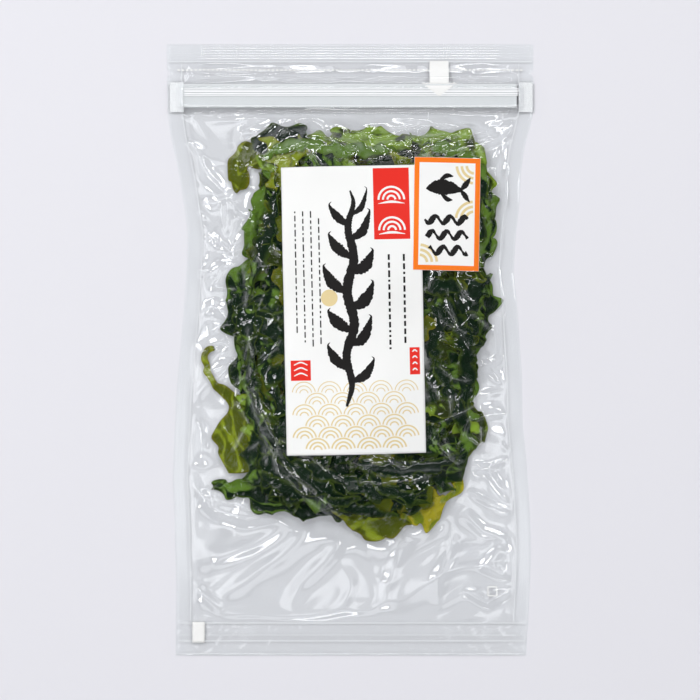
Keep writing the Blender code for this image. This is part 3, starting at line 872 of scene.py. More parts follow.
class Print:
    """Flat printed shapes in mm on a paper or on the film, gathered into one mesh."""

    def __init__(self, paper=None):
        self.paper = paper
        self.points = []
        self.faces = []
        self.count = 0

    def grid(self, flat):
        """Adds a grid of (x, y) points as faces."""
        rows, columns = flat.shape[:2]
        self.faces.append(quad_grid(rows, columns) + self.count)
        self.points.append(flat.reshape(-1, 2))
        self.count += rows * columns

    def stroke(self, line, ragged=0.0, seed=0, step=0.5):
        """A brush stroke through (x, y, half width) points, its sides ragged by so much."""
        path = smooth_line(line, step)
        heading = np.gradient(path[:, :2], axis=0)
        heading /= np.maximum(np.sqrt((heading**2).sum(axis=1)), 1e-9)[:, None]
        side = np.column_stack([-heading[:, 1], heading[:, 0]])
        chance = np.random.default_rng(seed)
        half = np.maximum(path[:, 2], 0.02)
        sides = [half * (1 + ragged * chance.uniform(-1, 1, len(path))) for _ in range(2)]
        across = np.linspace(-1, 1, 5)
        reach = np.where(across[None] < 0, sides[0][:, None], sides[1][:, None]) * across[None]
        self.grid(path[:, None, :2] + side[:, None] * reach[..., None])

    def block(self, low, high, step=1.2):
        u = np.linspace(low[0], high[0], max(2, int((high[0] - low[0]) / step) + 1))
        v = np.linspace(low[1], high[1], max(2, int((high[1] - low[1]) / step) + 1))
        self.grid(np.stack(np.meshgrid(u, v), axis=-1))

    def arc(self, centre, radius, start, end, half):
        turns = np.radians(np.linspace(start, end, max(6, int(abs(end - start) * radius / 40) + 2)))
        x, y = centre
        self.stroke([(x + radius * math.cos(a), y + radius * math.sin(a), half) for a in turns])

    def chevron(self, across, y, rise, ends, middle):
        """A bent stroke over a left end, a middle and a right end, its middle raised."""
        left, centre, right = across
        self.stroke([(left, y, ends), (centre, y + rise, middle), (right, y, ends)])

    def disc(self, centre, radius):
        turns = np.linspace(0, math.tau, 37)
        rings = np.linspace(0.02, 1, 5)[:, None] * radius
        x, y = centre
        self.grid(np.stack([x + rings * np.cos(turns), y + rings * np.sin(turns)], axis=-1))

    def piece(self, name, surface, lift, material, slot):
        flat = np.vstack(self.points) * MM
        xy = on_paper(self.paper, flat) if self.paper else flat
        z = lookup(surface, xy) + lift
        points, faces = np.column_stack([xy, z]), np.vstack(self.faces)
        upside_down = face_normals(points, faces)[:, 2] < 0
        faces = np.where(upside_down[:, None], faces[:, ::-1], faces)
        return add_piece(name, points, faces, material)


# Long slack strands on top of the heap: (x, y) points in mm and half width in mm
STRANDS = (
    (((-43.7, -18), (-36, -37), (-20.5, -53), (-2, -65), (16, -69)), 3.2),
    (((-27, -43), (-8, -51), (12, -58), (31, -63)), 2.8),
    (((-2, -46), (20, -49), (38, -46), (47, -42)), 3.0),
    (((-50, 8), (-47, -12), (-45, -28), (-38, -40)), 2.6),
    (((37, 24), (48, 8), (50, -12), (46, -32)), 3.2),
    (((32, 0), (42, -20), (48, -38), (40, -52)), 2.8),
    (((-40, 80), (-24, 86), (-4, 84), (18, 84)), 3.0),
    (((30, 84), (46, 80), (55, 68), (56, 52)), 2.6),
    (((-34, 72), (-36, 56), (-42, 36), (-46, 20)), 3.0),
    (((-48, -48), (-36, -56), (-20, -62), (-4, -60)), 2.6),
    (((6, -48), (14, -56), (26, -60), (34, -54)), 2.4),
    (((-30, -30), (-38, -20), (-40, -2), (-36, 12)), 2.4),
)

# Long folds of the front film: (x, y) points in mm, height and width in mm
FILM_FOLDS = (
    (((-43.7, -8.3), (-36, -28), (-27.4, -49), (-16, -59), (-4.3, -68.5)), 1.2, 2.6),
    (((-42.5, -7.5), (-34.6, -27.4), (-26, -48), (-15, -57.8), (-3.8, -67)), 0.9, 0.95),
    (((-44.9, -9.1), (-37.4, -28.6), (-28.8, -50), (-17, -60.4), (-4.8, -69.8)), 0.9, 0.95),
    (((-40, -22), (-30, -36), (-14, -46), (4, -58)), 0.9, 1.5),
    (((-20, -53), (-12, -60), (-4.3, -68.5)), 1.1, 1.7),
    (((-2.2, -44.9), (20, -47.5), (34, -47.2), (48.6, -46.7)), 1.0, 2.2),
    (((-2, -43.7), (20, -46.2), (34, -45.9), (48.4, -45.6)), 0.8, 0.95),
    (((-2.4, -46.1), (20, -48.8), (34, -48.5), (48.8, -48)), 0.8, 0.95),
    (((-42, 12), (-40, -2), (-41, -14)), 1.0, 0.95),
    (((-45, 40), (-42, 26), (-43, 14)), 1.0, 0.95),
    (((38, 20), (44, 8), (50, -2)), 1.0, 0.95),
    (((36, -6), (42, -12), (50, -13)), 1.0, 0.95),
    (((36, -30), (44, -26), (52, -22)), 1.1, 0.95),
    (((-6, -52), (14, -54), (36, -51), (50, -50)), 0.8, 1.5),
    (((-17, 97), (-24, 92), (-36, 84), (-47, 72)), 1.3, 2.0),
    (((-17, 97), (-8, 91), (2, 88.5), (12, 89)), 1.5, 1.9),
    (((-15, 96), (-13, 88), (-14, 80), (-18, 74)), 1.1, 1.9),
    (((-13, 96), (4, 92), (20, 92), (34, 94)), 1.3, 2.0),
    (((0, 90), (10, 84), (20, 80)), 1.1, 1.8),
    (((3, 76.4), (32, 82), (48, 86), (63, 91)), 1.5, 0.95),
    (((8, 74.6), (34, 79.8), (50, 83.4), (62, 87)), 1.2, 0.95),
    (((-2, 82), (26, 85.6), (42, 87.4), (58, 88.6)), 1.3, 0.95),
    (((-8, 88), (14, 90), (30, 91.6), (46, 91.8)), 1.2, 0.95),
    (((50, 80), (60, 87), (69, 94)), 1.6, 1.3),
    (((-16, 90), (-8, 86), (6, 84)), 1.1, 0.95),
    (((-30, 80), (-20, 84), (-16, 94)), 1.2, 0.95),
    (((18, 96), (38, 92), (60, 88)), 1.5, 2.0),
    (((6, 87), (24, 85), (42, 88), (62, 94)), 1.3, 1.8),
    (((-46, 88), (-36, 90), (-24, 96)), 1.2, 2.0),
    (((-40, 76), (-30, 82), (-18, 84), (-4, 82)), 1.0, 1.7),
    (((-34, 92), (-20, 88), (-6, 86), (8, 80)), 1.2, 1.3),
    (((-10, 94), (6, 88), (22, 88), (40, 82)), 1.3, 1.3),
    (((-26, 96), (-30, 86), (-38, 78)), 1.1, 1.2),
    (((38, 95), (50, 90), (64, 84)), 1.4, 1.4),
    (((-66, 86), (-58, 72), (-50, 62), (-46, 54)), 1.8, 2.6),
    (((-68, 66), (-60, 60), (-50, 62), (-46, 66)), 1.2, 1.4),
    (((-66, 44), (-56, 46), (-48, 40), (-42, 42)), 1.2, 1.3),
    (((-64, 26), (-54, 34), (-44, 36)), 1.2, 1.6),
    (((-66, 12), (-56, 18), (-48, 13)), 1.6, 2.2),
    (((-64, -6), (-56, 2), (-50, 4)), 1.4, 2.2),
    (((-64, -24), (-60, -34), (-60, -48)), 1.4, 2.6),
    (((-62, -60), (-54, -66), (-42, -69), (-30, -67)), 2.3, 3.2),
    (((-66, -50), (-62, -58), (-56, -62)), 1.4, 2.0),
    (((64, 84), (60, 74), (62, 60)), 1.2, 2.0),
    (((58, 60), (62, 48), (60, 34)), 1.3, 1.4),
    (((64, 20), (59, 10), (61, 0)), 1.4, 1.6),
    (((52, -4), (58, -8), (67, -18)), 2.0, 1.4),
    (((52, -8), (60, -4), (67, -2)), 1.3, 1.0),
    (((50, -30), (58, -26), (67, -27)), 1.8, 1.4),
    (((50, -46), (57, -50), (66, -62)), 2.3, 1.5),
    (((50, -50), (58, -47), (67, -44)), 1.4, 1.0),
    (((48, -58), (56, -62), (66, -66)), 1.5, 1.0),
    (((46, -66), (54, -74), (66, -78)), 1.4, 2.4),
    (((62, -80), (56, -88), (66, -92)), 1.5, 2.2),
    (((40, -68), (42, -80), (36, -92), (35, -104)), 1.4, 2.6),
    (((24, -76), (18, -88), (15, -98), (14, -106)), 1.3, 3.0),
    (((2, -72), (-10, -86), (-20, -96), (-26, -106)), 1.3, 3.4),
    (((-12, -70), (-28, -84), (-42, -94), (-54, -102)), 1.3, 3.6),
    (((-26, -72), (-40, -80), (-56, -86)), 1.4, 3.4),
    (((46, -98), (56, -103), (66, -98), (70, -90)), 1.7, 2.0),
    (((-66, -92), (-60, -100), (-52, -106)), 1.2, 2.2),
    (((-60, 93), (-30, 95.5), (0, 96), (34, 95.5), (62, 93)), 1.0, 1.4),
    (((-68, 111.6), (-40, 111.2), (0, 111.4), (40, 111.1), (69, 111.5)), 0.9, 1.1),
    (((-66, 114.6), (-40, 114.9), (-10, 114.6)), 0.5, 0.9),
)


def material_of(name, maker, *values):
    """The material of this name, made once."""
    return bpy.data.materials.get(name) or maker(name, *values)


def length_of(name, description, value):
    """A setting in metres."""
    return FloatProperty(name=name, description=description, default=value, unit="LENGTH")


def share_of(name, description, value, most=1):
    """A setting from 0 to its most."""
    return FloatProperty(name=name, description=description, default=value, min=0, max=most)


def colour_of(name, description, value):
    """A colour setting."""
    return FloatVectorProperty(
        name=name, description=description, default=value, subtype="COLOR", min=0, max=1
    )


class WakameFronds(bpy.types.PropertyGroup):
    crumple: length_of("Crumple", "Depth of the folds", 1.5 * MM)
    pitch: length_of("Fold pitch", "Spacing of the folds", 5.0 * MM)
    thick: length_of("Blade", "Blade thickness", 0.3 * MM)
    scraps: IntProperty(name="Scraps", description="Number of loose scraps", default=165, min=0)
    scrap_length: length_of("Scrap length", "Mean length of a scrap", 32 * MM)
    room: length_of("Room", "Heap's height above the solid film", 2 * MM)
    dark: colour_of("Dark", "Deep green", (0.004, 0.014, 0.005))
    green: colour_of("Green", "Thin green", (0.1, 0.185, 0.024))
    olive: colour_of("Olive", "Thin olive", (0.155, 0.195, 0.012))
    yellow: colour_of("Yellow", "Pale margin", (0.34, 0.3, 0.02))


class WakameFilms(bpy.types.PropertyGroup):
    sheet_pitch: length_of("Sheet pitch", "Relaxed grid", 1.35 * MM)
    pitch: length_of("Film pitch", "Finished grid", 0.92 * MM)
    thick: length_of("Thickness", "Drawn film thickness", 0.12 * MM)
    slack: share_of("Slack", "Share of the spare width kept", 0.75)
    press: length_of("Press", "Pressed down each round", 0.02 * MM)
    proud: length_of("Proud", "Most above the solid", 1.8 * MM)
    stiffness: share_of("Stiffness", "Resistance to folding", 0.12, 0.5)
    rounds: IntProperty(name="Rounds", description="Rounds of relaxing", default=260, min=1)
    tint: colour_of("Tint", "Light that passes", (0.995, 0.999, 0.998))
    cling: share_of("Cling", "Share of gloss left on the wet heap", 0.05)
    gloss: share_of("Gloss", "Times the plain reflection", 2.8, 4)


class WakamePapers(bpy.types.PropertyGroup):
    paper: colour_of("Paper", "Label paper", (0.88, 0.88, 0.87))
    ink: colour_of("Ink", "Brush black", (0.012, 0.011, 0.011))
    red: colour_of("Red", "Seal red", (0.78, 0.03, 0.02))
    orange: colour_of("Orange", "Sticker's frame", (0.93, 0.2, 0.015))
    gold: colour_of("Gold", "Pale wave lines", (0.76, 0.62, 0.33))


class WakameStage(bpy.types.PropertyGroup):
    floor: colour_of("Floor", "Floor colour", (0.735, 0.73, 0.775))
    seen: length_of("View", "Width seen", 284.6 * MM)
    height: length_of("Camera height", "Above the pack", 1.3)
    light: FloatProperty(name="Light", description="Power of each soft light", default=2.62, min=0)
    horizon: FloatProperty(name="Horizon", description="Strength of the backdrop's light", default=0.8, min=0)
    sky: FloatProperty(name="Sky", description="Strength of the even light", default=0.12, min=0)


def tint_of(name):
    """A frond's tint, from its slot in the record."""
    for entry in frame["record"]["subparts"]:
        if entry["node"] == name:
            return entry["material_slot"].removeprefix("frond_")
    raise ValueError(f"{name} has no slot")


def leaf_of(given, tint):
    """The material of a tint, made once."""
    dark, green, olive, yellow = (tuple(c) for c in (given.dark, given.green, given.olive, given.yellow))
    # Each set holds a dark colour for hollows and thick places, a lighter one for ridges and thin places, and
    # a margin colour. The dark and light copies paint shade and light passing through the leaf.
    lime = tuple(1.1 * a + 0.65 * b for a, b in zip(green, olive))
    sets = {
        "dark": (dark, green, tuple(0.35 * c for c in lime)),
        "green": (tuple(0.1 * c for c in lime), lime, olive),
        "olive": (
            tuple(0.5 * c for c in olive), tuple(1.4 * c for c in olive), tuple(0.6 * c for c in yellow)
        ),
        "yellow": (olive, yellow, tuple(min(1, 1.3 * c) for c in yellow)),
    }
    return material_of(f"Leaf {tint}", leaf_material, *sets[tint])


def laying_order(name):
    """Fronds in the order in which they lie: under, at the outline, middle, upper."""
    for layer, word in ((0, "under"), (2, "middle"), (3, "upper")):
        if name.startswith(f"frond_{word}_"):
            return layer, int(name.rsplit("_", 1)[1]), name
    return 1, 0, name


def make_blade(sheet, material):
    """Makes a frond's object, or that of scraps, from its sheet."""
    return add_sheet(
        sheet["name"], sheet["points"], sheet["quads"], sheet["thick"], material,
        sheet["replaced"], sheet["values"],
    )


def joined(blades):
    """Several blades as one: points, quads and values."""
    points, quads, values, count = [], [], {}, 0
    for blade, faces, given in blades:
        points.append(blade)
        quads.append(faces + count)
        count += len(blade)
        for key, row in given.items():
            values.setdefault(key, []).append(row)
    return np.vstack(points), np.vstack(quads), {key: np.concatenate(rows) for key, rows in values.items()}


def heap_ceiling(context, room):
    """How high the film may lie: on the underside of its solid, with room over the heap."""
    solid = BVHTree.FromObject(frame["nodes"]["front_film"], context.evaluated_depsgraph_get())
    ceiling = cast_heights(solid, from_above=False)
    ceiling = blurred(np.where(ceiling > 0, ceiling, SEAL_LEVEL), 1.2 * MM)
    on_heap = smooth_step(2.5 * MM, 7 * MM, blurred(ceiling, 4 * MM)) * (FIELD_Y < 95 * MM)
    return ceiling + room * on_heap


class WAKAME_OT_fronds(bpy.types.Operator):
    """Make a crumpled blade in place of each frond's solid"""

    bl_idname = "wakame.fronds"
    bl_label = "Fronds"

    def execute(self, context):
        given = context.scene.wakame_fronds
        tops = np.full((len(FIELD_X), len(FIELD_Y)), BASE)
        counts = np.zeros(tops.shape)
        sheets = []
        names = sorted((n for n in frame["nodes"] if n.startswith("frond_")), key=laying_order)
        if not names:
            raise RuntimeError("the packed model has no fronds")
        for number, name in enumerate(names):
            slim = "strand" in name or "hook" in name
            levels = 2 if name.startswith("frond_under_") else 3
            points, quads = cad_top_sheet(name, levels)
            depth = given.crumple * (0.45 if slim else 1.0)
            points, values = crumpled(points, quads, 100 + 17 * number, depth, given.pitch, tops, BLADE_GAP)
            values["layers"] = layer_count(points, counts)
            tint = tint_of(name)
            tone = -0.3 if points[:, 1].mean() < FOOT_Y and tint in ("dark", "green") else 0
            values["fold"] = values["fold"] + tone + 0.3 * math.sin(2.4 * number)
            stamp(tops, points)
            count_in(counts, points)
            sheets.append({
                "name": name.replace("frond_", "blade_"), "points": points, "quads": quads, "values": values,
                "thick": given.thick, "tint": tint, "slot": f"frond_{tint}", "replaced": (name,),
            })
        state["tops"] = tops
        state["counts"] = counts
        state["sheets"] = sheets
        return {"FINISHED"}


class WAKAME_OT_scraps(bpy.types.Operator):
    """Lay loose crumpled scraps over the blades, and press the whole heap under the film's solid"""

    bl_idname = "wakame.scraps"
    bl_label = "Scraps"

    def execute(self, context):
        given = context.scene.wakame_fronds
        if "sheets" not in state:
            raise RuntimeError("the fronds come first")
        tops, counts = state["tops"], state["counts"]
        chance = np.random.default_rng(7)
        gathered = {}
        soft = blurred(grown(tops, 1), 1.6 * MM)
        for number in range(given.scraps):
            y = chance.uniform(HEAP_BOTTOM + 5 * MM, HEAP_TOP - 4 * MM)
            left = edge_at(HEAP_LEFT, y) + SCRAP_INSET
            right = edge_at(HEAP_RIGHT, y) - SCRAP_INSET
            t = chance.uniform(0, 1)
            if number % 3:
                t = t * 0.3 if chance.uniform() < 0.5 else 1 - t * 0.3
            centre = (left + (right - left) * t, y)
            strand = number - given.scraps + len(STRANDS)
            if strand < 0:
                line = scrap_line(chance, centre, given.scrap_length * chance.uniform(0.5, 1.3), SCRAP_PITCH)
                half = chance.uniform(3.5, 9) * MM
            else:
                way, wide = STRANDS[strand]
                line = smooth_line(np.array(way) * MM, SCRAP_PITCH)
                y = line[:, 1].mean()
                half = wide * MM
            points, quads = scrap_sheet(chance, line, half, SCRAP_PITCH)
            sides = edge_at(HEAP_LEFT, points[:, 1]), edge_at(HEAP_RIGHT, points[:, 1])
            points[:, 0] += max(0, (sides[0] - points[:, 0]).max()) - max(0, (points[:, 0] - sides[1]).max())
            points[:, 1] += max(0, HEAP_BOTTOM - points[:, 1].min()) - max(0, points[:, 1].max() - HEAP_TOP)
            if (number + 1) % SCRAPS_A_LAYER == 0:
                soft = blurred(grown(tops, 1), 1.4 * MM)
            points[:, 2] = lookup(soft, points) - SCRAP_SINK
            layers = layer_count(points, counts)
            points, values = crumpled(
                points, quads, 3000 + 13 * number, SCRAP_DEPTH_SHARE * given.crumple,
                SCRAP_FOLD_SHARE * given.pitch, tops, SCRAP_GAP, GRAIN if strand < 0 else STRAND_GRAIN,
            )
            # At the head the scraps count fewer layers beneath and take a lighter tone: painted light passing
            # through the leaves there. Towards the foot the tone is darker.
            lit = 1 - 0.9 * smooth_step(64 * MM, 76 * MM, points[:, 1])
            values["layers"] = lit * layers
            tone = 0.3 if y > HEAD_Y else -0.3 if y < FOOT_Y else 0.08
            values["fold"] = values["fold"] + tone + chance.uniform(-0.25, 0.55)
            stamp(tops, points)
            count_in(counts, points)
            tint = chance.choice(["dark"] * 5 + ["green"] * 2 + ["olive"])
            # Paler tints at the head: partly the leaves' own colours and partly painted light passing through
            # them.
            if y > HEAD_Y:
                tint = chance.choice(["green", "olive", "olive", "dark"])
            elif strand >= 0:
                tint = "dark"
            gathered.setdefault((str(tint), int(y > SPLIT_Y)), []).append((points, quads, values))
        for (tint, upper), blades in sorted(gathered.items()):
            points, quads, values = joined(blades)
            state["sheets"].append({
                "name": f"scraps_{tint}_{'upper' if upper else 'lower'}",
                "points": points, "quads": quads, "values": values,
                "thick": given.thick, "tint": tint, "slot": f"frond_{tint}", "replaced": (),
            })
        state["ceiling"] = heap_ceiling(context, given.room)
        press_heap(state["ceiling"] - 0.5 * MM)
        for sheet in state["sheets"]:
            sheet["piece"] = make_blade(sheet, leaf_of(given, sheet["tint"]))
        return {"FINISHED"}


def press_heap(roof):
    """Presses every blade down, in proportion to its height, until the heap lies under the roof."""
    tops = grown(state["tops"], 1)
    share = np.clip((roof - BASE) / np.maximum(tops - BASE, 1e-6), 0.05, 1)
    share = -grown(-share, 1)
    share = blurred(share, 0.9 * MM)
    for sheet in state["sheets"]:
        points = sheet["points"]
        over = points[:, 2] - BASE
        points[:, 2] = BASE + np.where(over > 0, over * lookup(share, points), over)
    state["tops"] = BASE + (state["tops"] - BASE) * share


def film_regions(points):
    """How far each place lies inside the pouch's sides, and 1 where the film is free to fold."""
    x, y = points[..., 0], points[..., 1]
    inside = np.minimum(x - edge_at(LEFT_EDGE, y), edge_at(RIGHT_EDGE, y) - x)
    body = within(FOLDED, y) * (1 - within(ZIPPED, y)) * smooth_step(SIDE_SEAL, SIDE_SEAL + 5 * MM, inside)
    return inside, body


def fold_film(points, body):
    """Smooths the free film, and adds folds and wrinkles. Gives the folds, their crests and the wrinkles."""
    over_heap = smooth_step(1.2 * MM, 3.5 * MM, lookup(blurred(state["tops"], 1.5 * MM), points))
    even = points[..., 2]
    for _ in range(CALM_ROUNDS):
        even = neighbour_mean(even)
    points[..., 2] += (1 - over_heap) * body * (even - points[..., 2])
    folds, crest = fold_heights(points, (*FILM_FOLDS, *heap_streaks(STREAKS)))
    wrinkled = smooth_step(-0.2, 0.5, plane_waves(points, 21 * MM, 65))
    wrinkles = wrinkled * smooth_step(0.75, 0.98, creases(points, 10 * MM, 66))
    wrinkles += 0.8 * (1 - wrinkled) * smooth_step(0.75, 0.98, creases(points, 6.5 * MM, 67))
    wrinkles = np.maximum(wrinkles, 0.7 * smooth_step(0.85, 0.99, creases(points, 7.5 * MM, 68)))
    swells = 0.6 * MM * plane_waves(points, 28 * MM, 77) + 0.6 * MM * creases(points, 32 * MM, 83)
    points[..., 2] += body * (
        folds
        + over_heap * (0.04 * MM * creases(points, 3.0 * MM, 61) + 0.35 * MM * wrinkles)
        + (1 - over_heap) * swells
    )
    return folds, crest, wrinkles


def film_contact(points, inside, body, folds, crest, wrinkles):
    """1 where the film clings to what is under it, 0 where it lies free, and less on sharp crests."""
    y = points[..., 1]
    heaped = (state["tops"] > WET_LEVEL) * 1.0
    covered = smooth_step(0.15, 0.6, lookup(blurred(heaped, 0.8 * MM), points))
    contact = covered * (1 - 0.25 * np.clip(folds / (0.9 * MM) - 0.35, 0, 1)) * (1 - 0.6 * wrinkles**3)
    bend = points[..., 2] - neighbour_mean(points[..., 2])
    slight, strong = np.quantile(bend[covered > 0.5], (0.9, 0.985))
    contact -= 2 * covered * smooth_step(slight, strong, bend)
    contact *= 1 - 0.65 * smooth_step(HEAD_Y, HEAD_Y + 12 * MM, y)
    sealed = 1 - smooth_step(SIDE_SEAL - 0.5 * MM, SIDE_SEAL + 0.8 * MM, inside)
    crushed = smooth_step(108 * MM, 110 * MM, y) * (1 - smooth_step(13 * MM, 16 * MM, inside))
    contact = np.maximum(contact, 0.6 * sealed) - 1.1 * crest * body * (1 - sealed)
    return np.maximum(contact, 0.94 * crushed)


def press_seals(points):
    """Ribs the top seal and cockles the bottom one."""
    y = points[..., 1]
    ribbed = y > HALF_LENGTH - TOP_SEAL + 0.4 * MM
    points[..., 2] += np.where(ribbed, 0.09 * MM * np.sin(math.tau * y / (1.05 * MM)), 0)
    cockled = y < BOTTOM_SEAL - HALF_LENGTH
    points[..., 2] += np.where(cockled, 0.12 * MM * creases(points, 5 * MM, 5), 0)


class WAKAME_OT_films(bpy.types.Operator):
    """Relax the front film over the heap, lay the back film under it, and press the blades under the film"""

    bl_idname = "wakame.films"
    bl_label = "Films"

    def execute(self, context):
        given = context.scene.wakame_films
        if "ceiling" not in state:
            raise RuntimeError("the scraps come first")
        ground = np.maximum(blurred(grown(state["tops"], 2), 1.2 * MM) + 0.1 * MM, WET_LEVEL)
        relaxed = relax_film(given, ground, state["ceiling"])
        rows, columns = relaxed.shape[:2]
        y = film_rows(given.pitch)
        at_rows = (HALF_LENGTH - y) / (2 * HALF_LENGTH) * (rows - 1)
        at_columns = np.linspace(0, columns - 1, int(2 * HALF_WIDTH / given.pitch) + 1)
        points = cubic_rows(relaxed, at_rows)
        points = cubic_rows(points.transpose(1, 0, 2), at_columns).transpose(1, 0, 2).copy()
        points = notched(points, y)
        inside, body = film_regions(points)
        folded = fold_film(points, body)
        contact = film_contact(points, inside, body, *folded)
        press_seals(points)
        quads = upward_quads(points)
        flat = points.reshape(-1, 3)
        tree = BVHTree.FromPolygons(flat.tolist(), quads.tolist())
        seen = cast_heights(tree, from_above=True)
        seen = np.where(seen > 0, seen, SEAL_LEVEL)
        calm = 0.72 * blurred(seen, 6 * MM) + 0.28 * blurred(seen, 2.4 * MM)
        cover = paper_cover(field_points(), PAPER_FADE)
        paper_top = calm + PAPER_RISE
        state["paper_top"] = paper_top
        below = lookup(paper_top, flat) - UNDER_PAPER
        share = paper_cover(flat, PAPER_FADE)
        flat[:, 2] += (below - flat[:, 2]) * share
        state["film_top"] = seen + (paper_top - UNDER_PAPER - seen) * cover
        press_heap(state["film_top"] - given.thick - 0.12 * MM)
        for sheet in state["sheets"]:
            shaped, _ = closed_sheet(sheet["points"], sheet["quads"], sheet["thick"])
            sheet["piece"].data.vertices.foreach_set("co", shaped.ravel())
            sheet["piece"].data.update()
        clear = material_of("Clear film", film_material, tuple(given.tint), given.gloss, given.cling)
        add_sheet(
            "film_front", flat, quads, given.thick, clear, replaced=("front_film",),
            values={"contact": contact.ravel()},
        )
        self.back(given)
        return {"FINISHED"}

    def back(self, given):
        """The back film lies on the floor, barely cockled."""
        clear = material_of("Clear back film", film_material, tuple(given.tint), 1.0, 1.0)
        y = film_rows(1.6 * MM)
        y = y[(y < HALF_LENGTH - TOP_SEAL) | (np.arange(len(y)) % 4 == 0)]
        left, right = edge_at(LEFT_EDGE, y)[:, None], edge_at(RIGHT_EDGE, y)[:, None]
        x = left + (right - left) * np.linspace(0, 1, BACK_COLUMNS)[None, :]
        points = np.stack([x, np.broadcast_to(y[:, None], x.shape), np.full_like(x, BACK_LEVEL)], axis=-1)
        points = notched(points, y)
        inner = smooth_step(0, 10 * MM, x - left) * smooth_step(0, 10 * MM, right - x)
        points[..., 2] += BACK_COCKLE * (1 + plane_waves(points, 16 * MM, 91)) * inner
        add_sheet(
            "film_back", points.reshape(-1, 3), upward_quads(points), BACK_THICK, clear,
            replaced=("back_film",),
        )


class WAKAME_OT_zip(bpy.types.Operator):
    """Finish the zip's tracks, and add its fine ribs in near white, which also paint the highlight along the
    tracks, its crushed ends and the lines of the seals
    """

    bl_idname = "wakame.zip"
    bl_label = "Zip and seals"

    def execute(self, context):
        if "film_top" not in state:
            raise RuntimeError("the films come first")
        milky = material_of("Zip plastic", milky_material, (0.67, 0.69, 0.71), 0.2)
        bright = material_of("Zip ribs", milky_material, (0.97, 0.98, 1.0), 0.2)
        frosted = material_of("Zip end", milky_material, (0.76, 0.78, 0.8), 0.25)
        faint = material_of("Seal line", milky_material, (0.8, 0.82, 0.85), 0.3)
        for name in ("zip_groove", "zip_rib"):
            frame["nodes"][name].data.materials.clear()
            frame["nodes"][name].data.materials.append(milky)
        film = state["film_top"]
        # Near-white lines on the film: the zip's fine ribs, and a painted highlight along the tracks.
        ribs = Print()
        for y, half in ((103.9, 0.18), (104.6, 0.3), (105.6, 0.34), (106.5, 0.2), (108.2, 0.1), (99.6, 0.1)):
            ribs.stroke([(x, y, half) for x in np.linspace(-67.6, 68.6, 40)], step=1.6)
        ribs.piece("zip_ribs", film, WHITE_LIFT, bright, "zip_plastic")
        lines = Print()
        sides = np.linspace(117, -111, 60)
        for edge, way in ((LEFT_EDGE, 1), (RIGHT_EDGE, -1)):
            lines.stroke([(float(edge_at(edge, y * MM)) / MM + way * 6, y, 0.12) for y in sides], step=1.5)
        for y, half in ((117.9, 0.14), (-111.6, 0.16), (-116.5, 0.1), (-118.9, 0.16), (-124.2, 0.14)):
            left, right = (float(edge_at(e, y * MM)) / MM for e in (LEFT_EDGE, RIGHT_EDGE))
            lines.stroke([(x, y, half) for x in np.linspace(left + 1, right - 1, 40)], step=1.5)
        lines.piece("seal_lines", film, WHITE_LIFT, faint, "film")
        for name, low, high in (("zip_end_left", -73.7, -67.9), ("zip_end_right", 68.9, 74.7)):
            self.crushed(name, low, high, film, frosted)
        return {"FINISHED"}

    def crushed(self, name, low, high, film, material):
        """A crushed end of the zip: a pad with a fine square dimple."""
        x, y = np.meshgrid(np.linspace(low, high, 34) * MM, np.linspace(109.4, 97.2, 70) * MM)
        dimple = np.abs(np.sin(math.pi * x / DIMPLE_PITCH) * np.sin(math.pi * y / DIMPLE_PITCH))
        points = np.stack([x, y, np.zeros_like(x)], axis=-1)
        points[..., 2] = lookup(blurred(film, 1 * MM), points) + 0.16 * MM + 0.14 * MM * dimple
        add_sheet(name, points.reshape(-1, 3), upward_quads(points), 0.1 * MM, material)


class WAKAME_OT_papers(bpy.types.Operator):
    """Lay the label, the season sticker and the corner tag on the front film"""

    bl_idname = "wakame.papers"
    bl_label = "Papers"

    def execute(self, context):
        given = context.scene.wakame_papers
        if "paper_top" not in state:
            raise RuntimeError("the films come first")
        white = material_of("Label paper", paper_material, tuple(given.paper), 0.42, 1.4)
        surface = state["paper_top"]
        for name, paper, lift, node_name, slot in (
            ("paper_label", LABEL, 0.0, "main_label", "label_paper"),
            ("paper_season", SEASON, SEASON_LIFT, "season_sticker", "season_paper"),
            ("paper_tag", TAG, 0.05 * MM, "corner_tag", "label_paper"),
        ):
            points, quads = paper_sheet(paper, surface, lift, 1.0 * MM)
            add_sheet(name, points, quads, PAPER_THICK, white, replaced=(node_name,))
        return {"FINISHED"}


